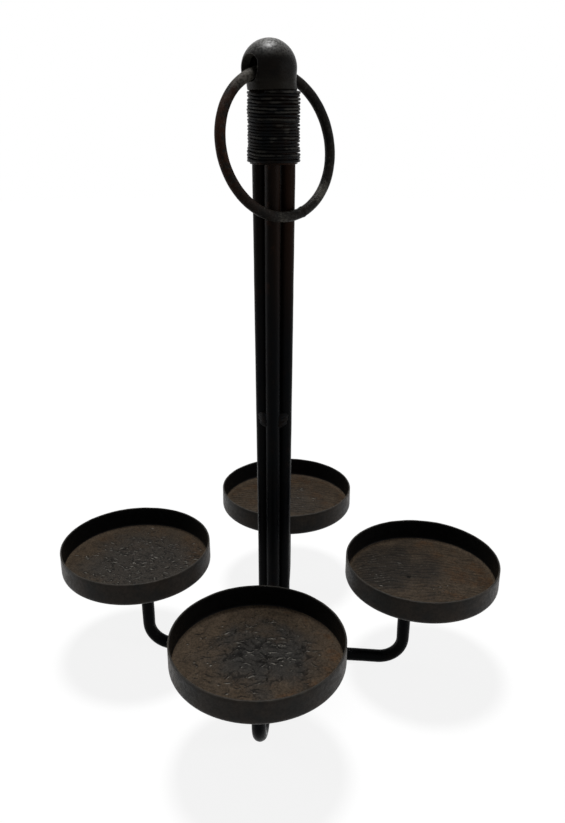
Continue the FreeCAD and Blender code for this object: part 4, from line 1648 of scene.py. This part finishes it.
# %% Ball
SKIN = 1.2 * MM                      # what lies this near the ball's surface is its outside
DENT_DEPTH, DENT_SIZE = 0.16 * MM, 7 * MM
GOUGE_AT = (-0.42, -0.88, 0.2)       # direction from the ball's centre
GOUGE_WIDE, GOUGE_DEPTH = 1.6 * MM, 0.5 * MM
LIP_WIDE, LIP_FROM = 0.9 * MM, 0.55  # and how far along the hole it starts, as a share of the radius
CROWN_RANGE = (0.25, 0.95)           # heights, as shares of the radius

from_hinge = points - hinge
along_hole = from_hinge @ hole_way
from_hole = np.linalg.norm(from_hinge - along_hole[:, None] * hole_way, axis=1)
outside = np.linalg.norm(from_hinge, axis=1) > ball_r - SKIN
gouge_way = np.array(GOUGE_AT) / np.linalg.norm(GOUGE_AT)
gouge = np.exp(-(np.linalg.norm(from_hinge - gouge_way * ball_r, axis=1) / GOUGE_WIDE) ** 2)
pushed_in = (DENT_DEPTH * dips(points, DENT_SIZE) + GOUGE_DEPTH * gouge) * outside
ball_marks = {
    "lip": np.exp(-((from_hole - HOLE_R) / LIP_WIDE) ** 2) * (np.abs(along_hole) > LIP_FROM * ball_r),
    "crown": soft_step(from_hinge[:, 2] / ball_r, *CROWN_RANGE),
    "neck": on_neck(from_hinge[:, 2]),
}
points = points - normals * pushed_in[:, None]
new_piece("ball", "ball_finial", points, faces, [ball_finish], marks=ball_marks)

# %% [markdown]
# ### Worn ring
#
# The ring was bent from thinner bar. It is rusty on the left, greyer below and rubbed to pale iron
# where it runs in the hole and where hands lift it. Two marks say how rusty and how rubbed each point
# is, and noise breaks both up into blooms and speckles.

# %% Worn ring
RING_DARK = (0.0034, 0.0031, 0.0028, 1)
RING_BROWN = (0.0078, 0.0060, 0.0046, 1)


def worn_ring():
    material, tree, shader = iron_finish("worn_ring", mirror=0.035)
    patches = effect(tree, mottle, size_mm=5.0, seed=41.0)
    bloom = effect(tree, rust_bloom, size_mm=4.0, seed=42.0, amount=0.75)["Mask"]
    skin = effect(tree, pitted, size_mm=0.9, seed=43.0)
    rub = effect(tree, rub_and_glint, size_mm=1.4, seed=44.0, edge=mark(tree, "rub"))["Mask"]
    rusty = maths(tree, "MULTIPLY", mark(tree, "rust"), bloom)
    colour = mix(tree, patches["Broad"], RING_DARK, RING_BROWN)
    colour = mix(tree, rusty, colour, RUST_BROWN)
    feed(tree, shader["Base Color"], mix(tree, rub, colour, BARE_IRON))
    dull = share_of(tree, patches["Fine"], share=0.16, start=0.3)
    feed(tree, shader["Roughness"], maths(tree, "ADD", dull, share_of(tree, rusty, share=0.2)))
    bumps(tree, shader, skin["Height"], depth_mm=0.17)
    return finished(material)


ring_finish = worn_ring()

# %% [markdown]
# ### A frame for the ring
#
# The ring hangs askew in the ball, and a torus primitive would have to be turned into place. It is
# simpler to lay it out by its own directions: its centre and the axis through it come from the CAD
# record, and down and left follow from the hinge. Any stretch of the ring's bar can then be set out by
# how far round it lies.

# %% Frame of the ring
RING_SIDES = 32

ring_mount = next(mount for mount in frame["record"]["mounts"] if mount["name"] == "ring_loop")
ring_centre = np.array(ring_mount["pos_m"])
ring_normal = np.array(ring_mount["axis"])
ring_down = (ring_centre - hinge) / np.linalg.norm(ring_centre - hinge)
ring_left = -hole_way
ring_corners = corners_of("hanging_ring") - ring_centre
bar_r = np.abs(ring_corners @ ring_normal).max()
ring_r = np.linalg.norm(ring_corners, axis=1).max() - bar_r


def ring_points(turn, thick):
    """Points of a stretch of the ring's bar; turn in degrees from its lowest point."""
    angle = np.radians(turn)[:, None]
    out = np.cos(angle) * ring_down + np.sin(angle) * ring_left
    round_bar = full_turn(RING_SIDES)[:, None]
    section = np.cos(round_bar) * out[:, None] + np.sin(round_bar) * ring_normal
    return ring_centre + ring_r * out[:, None] + thick[..., None] * section


print(f"a ring of {2 * bar_r / MM:.1f} mm bar, {2 * ring_r / MM:.1f} mm across")

# %% [markdown]
# ### The hanging ring
#
# The bar is dented a little all round, with noise that is asked at the points of a smooth ring. Each
# point knows how far round it lies, and smooth bumps of that angle paint rust and rub. Ring and weld
# ride on the ring's own body, so whatever moves that body moves them too.

# %% Ring
RING_STATIONS = 320
RING_DENT, RING_DENT_SIZE = 0.1 * MM, 5 * MM
# degrees round the ring from its lowest point, towards the left: where the wear is, and how wide
RUST_AT, RUST_WIDE = 95.0, 48.0
RUBBED = [(152.0, 32.0, 0.86), (316.0, 24.0, 0.84), (5.0, 30.0, 0.74)]   # and how much
RUBBED_LEAST = 0.62     # all round


def near_turn(turn, at, wide):
    """1 at a turn in degrees and less away from it, all round a circle."""
    away = (turn - at + 180) % 360 - 180
    return np.exp(-(away / wide) ** 2)


turn = np.linspace(0, 360, RING_STATIONS, endpoint=False)
smooth = ring_points(turn, np.full((RING_STATIONS, RING_SIDES), bar_r))
dented = bar_r - RING_DENT * dips(smooth, RING_DENT_SIZE)
rubs = [much * near_turn(turn, at, wide) for at, wide, much in RUBBED]
ring_marks = {
    "rust": np.repeat(near_turn(turn, RUST_AT, RUST_WIDE), RING_SIDES),
    "rub": np.repeat(np.maximum(np.max(rubs, axis=0), RUBBED_LEAST), RING_SIDES),
}
ring_faces = quads(RING_STATIONS, RING_SIDES, closed_rows=True)
new_piece("ring", "hanging_ring", ring_points(turn, dented), ring_faces, [ring_finish],
          body="ring", marks=ring_marks)

# %% [markdown]
# ### The ring's weld
#
# The weld that closes the ring is a thicker collar on the bar, dressed with a file, so only a faint
# ripple is left and it has the ring's own finish. Its ends dive under the bar's skin, which hides
# where it starts. Its place is read from the CAD node, so it lies over the joint wherever that is.

# %% Ring bead
COLLAR_STATIONS = 40
COLLAR_RIPPLES, COLLAR_RIPPLE = 5, 0.02 * MM
COLLAR_DENT, COLLAR_DENT_SIZE = 0.05 * MM, 1.6 * MM
COLLAR_SUNK = 0.12 * MM    # how far its ends lie under the bar's skin
FILED = 0.65               # the share of its swell that the file has left

collar_corners = corners_of("ring_weld") - ring_centre
collar_turns = np.degrees(np.arctan2(collar_corners @ ring_left, collar_corners @ ring_down))
collar_turn = np.linspace(collar_turns.min(), collar_turns.max(), COLLAR_STATIONS)
collar_r = np.abs(collar_corners @ ring_normal).max()
share = np.linspace(-1, 1, COLLAR_STATIONS)[:, None]
ripple = COLLAR_RIPPLE * np.cos(COLLAR_RIPPLES * math.pi * share)
swell = (FILED * (collar_r - bar_r) + COLLAR_SUNK + ripple) * (1 - share ** 2) ** 2 - COLLAR_SUNK
thick = np.broadcast_to(bar_r + swell, (COLLAR_STATIONS, RING_SIDES))
thick = thick - COLLAR_DENT * dips(ring_points(collar_turn, thick), COLLAR_DENT_SIZE)
new_piece("ring_bead", "ring_weld", ring_points(collar_turn, thick),
          capped(COLLAR_STATIONS, RING_SIDES), [ring_finish], body="ring")
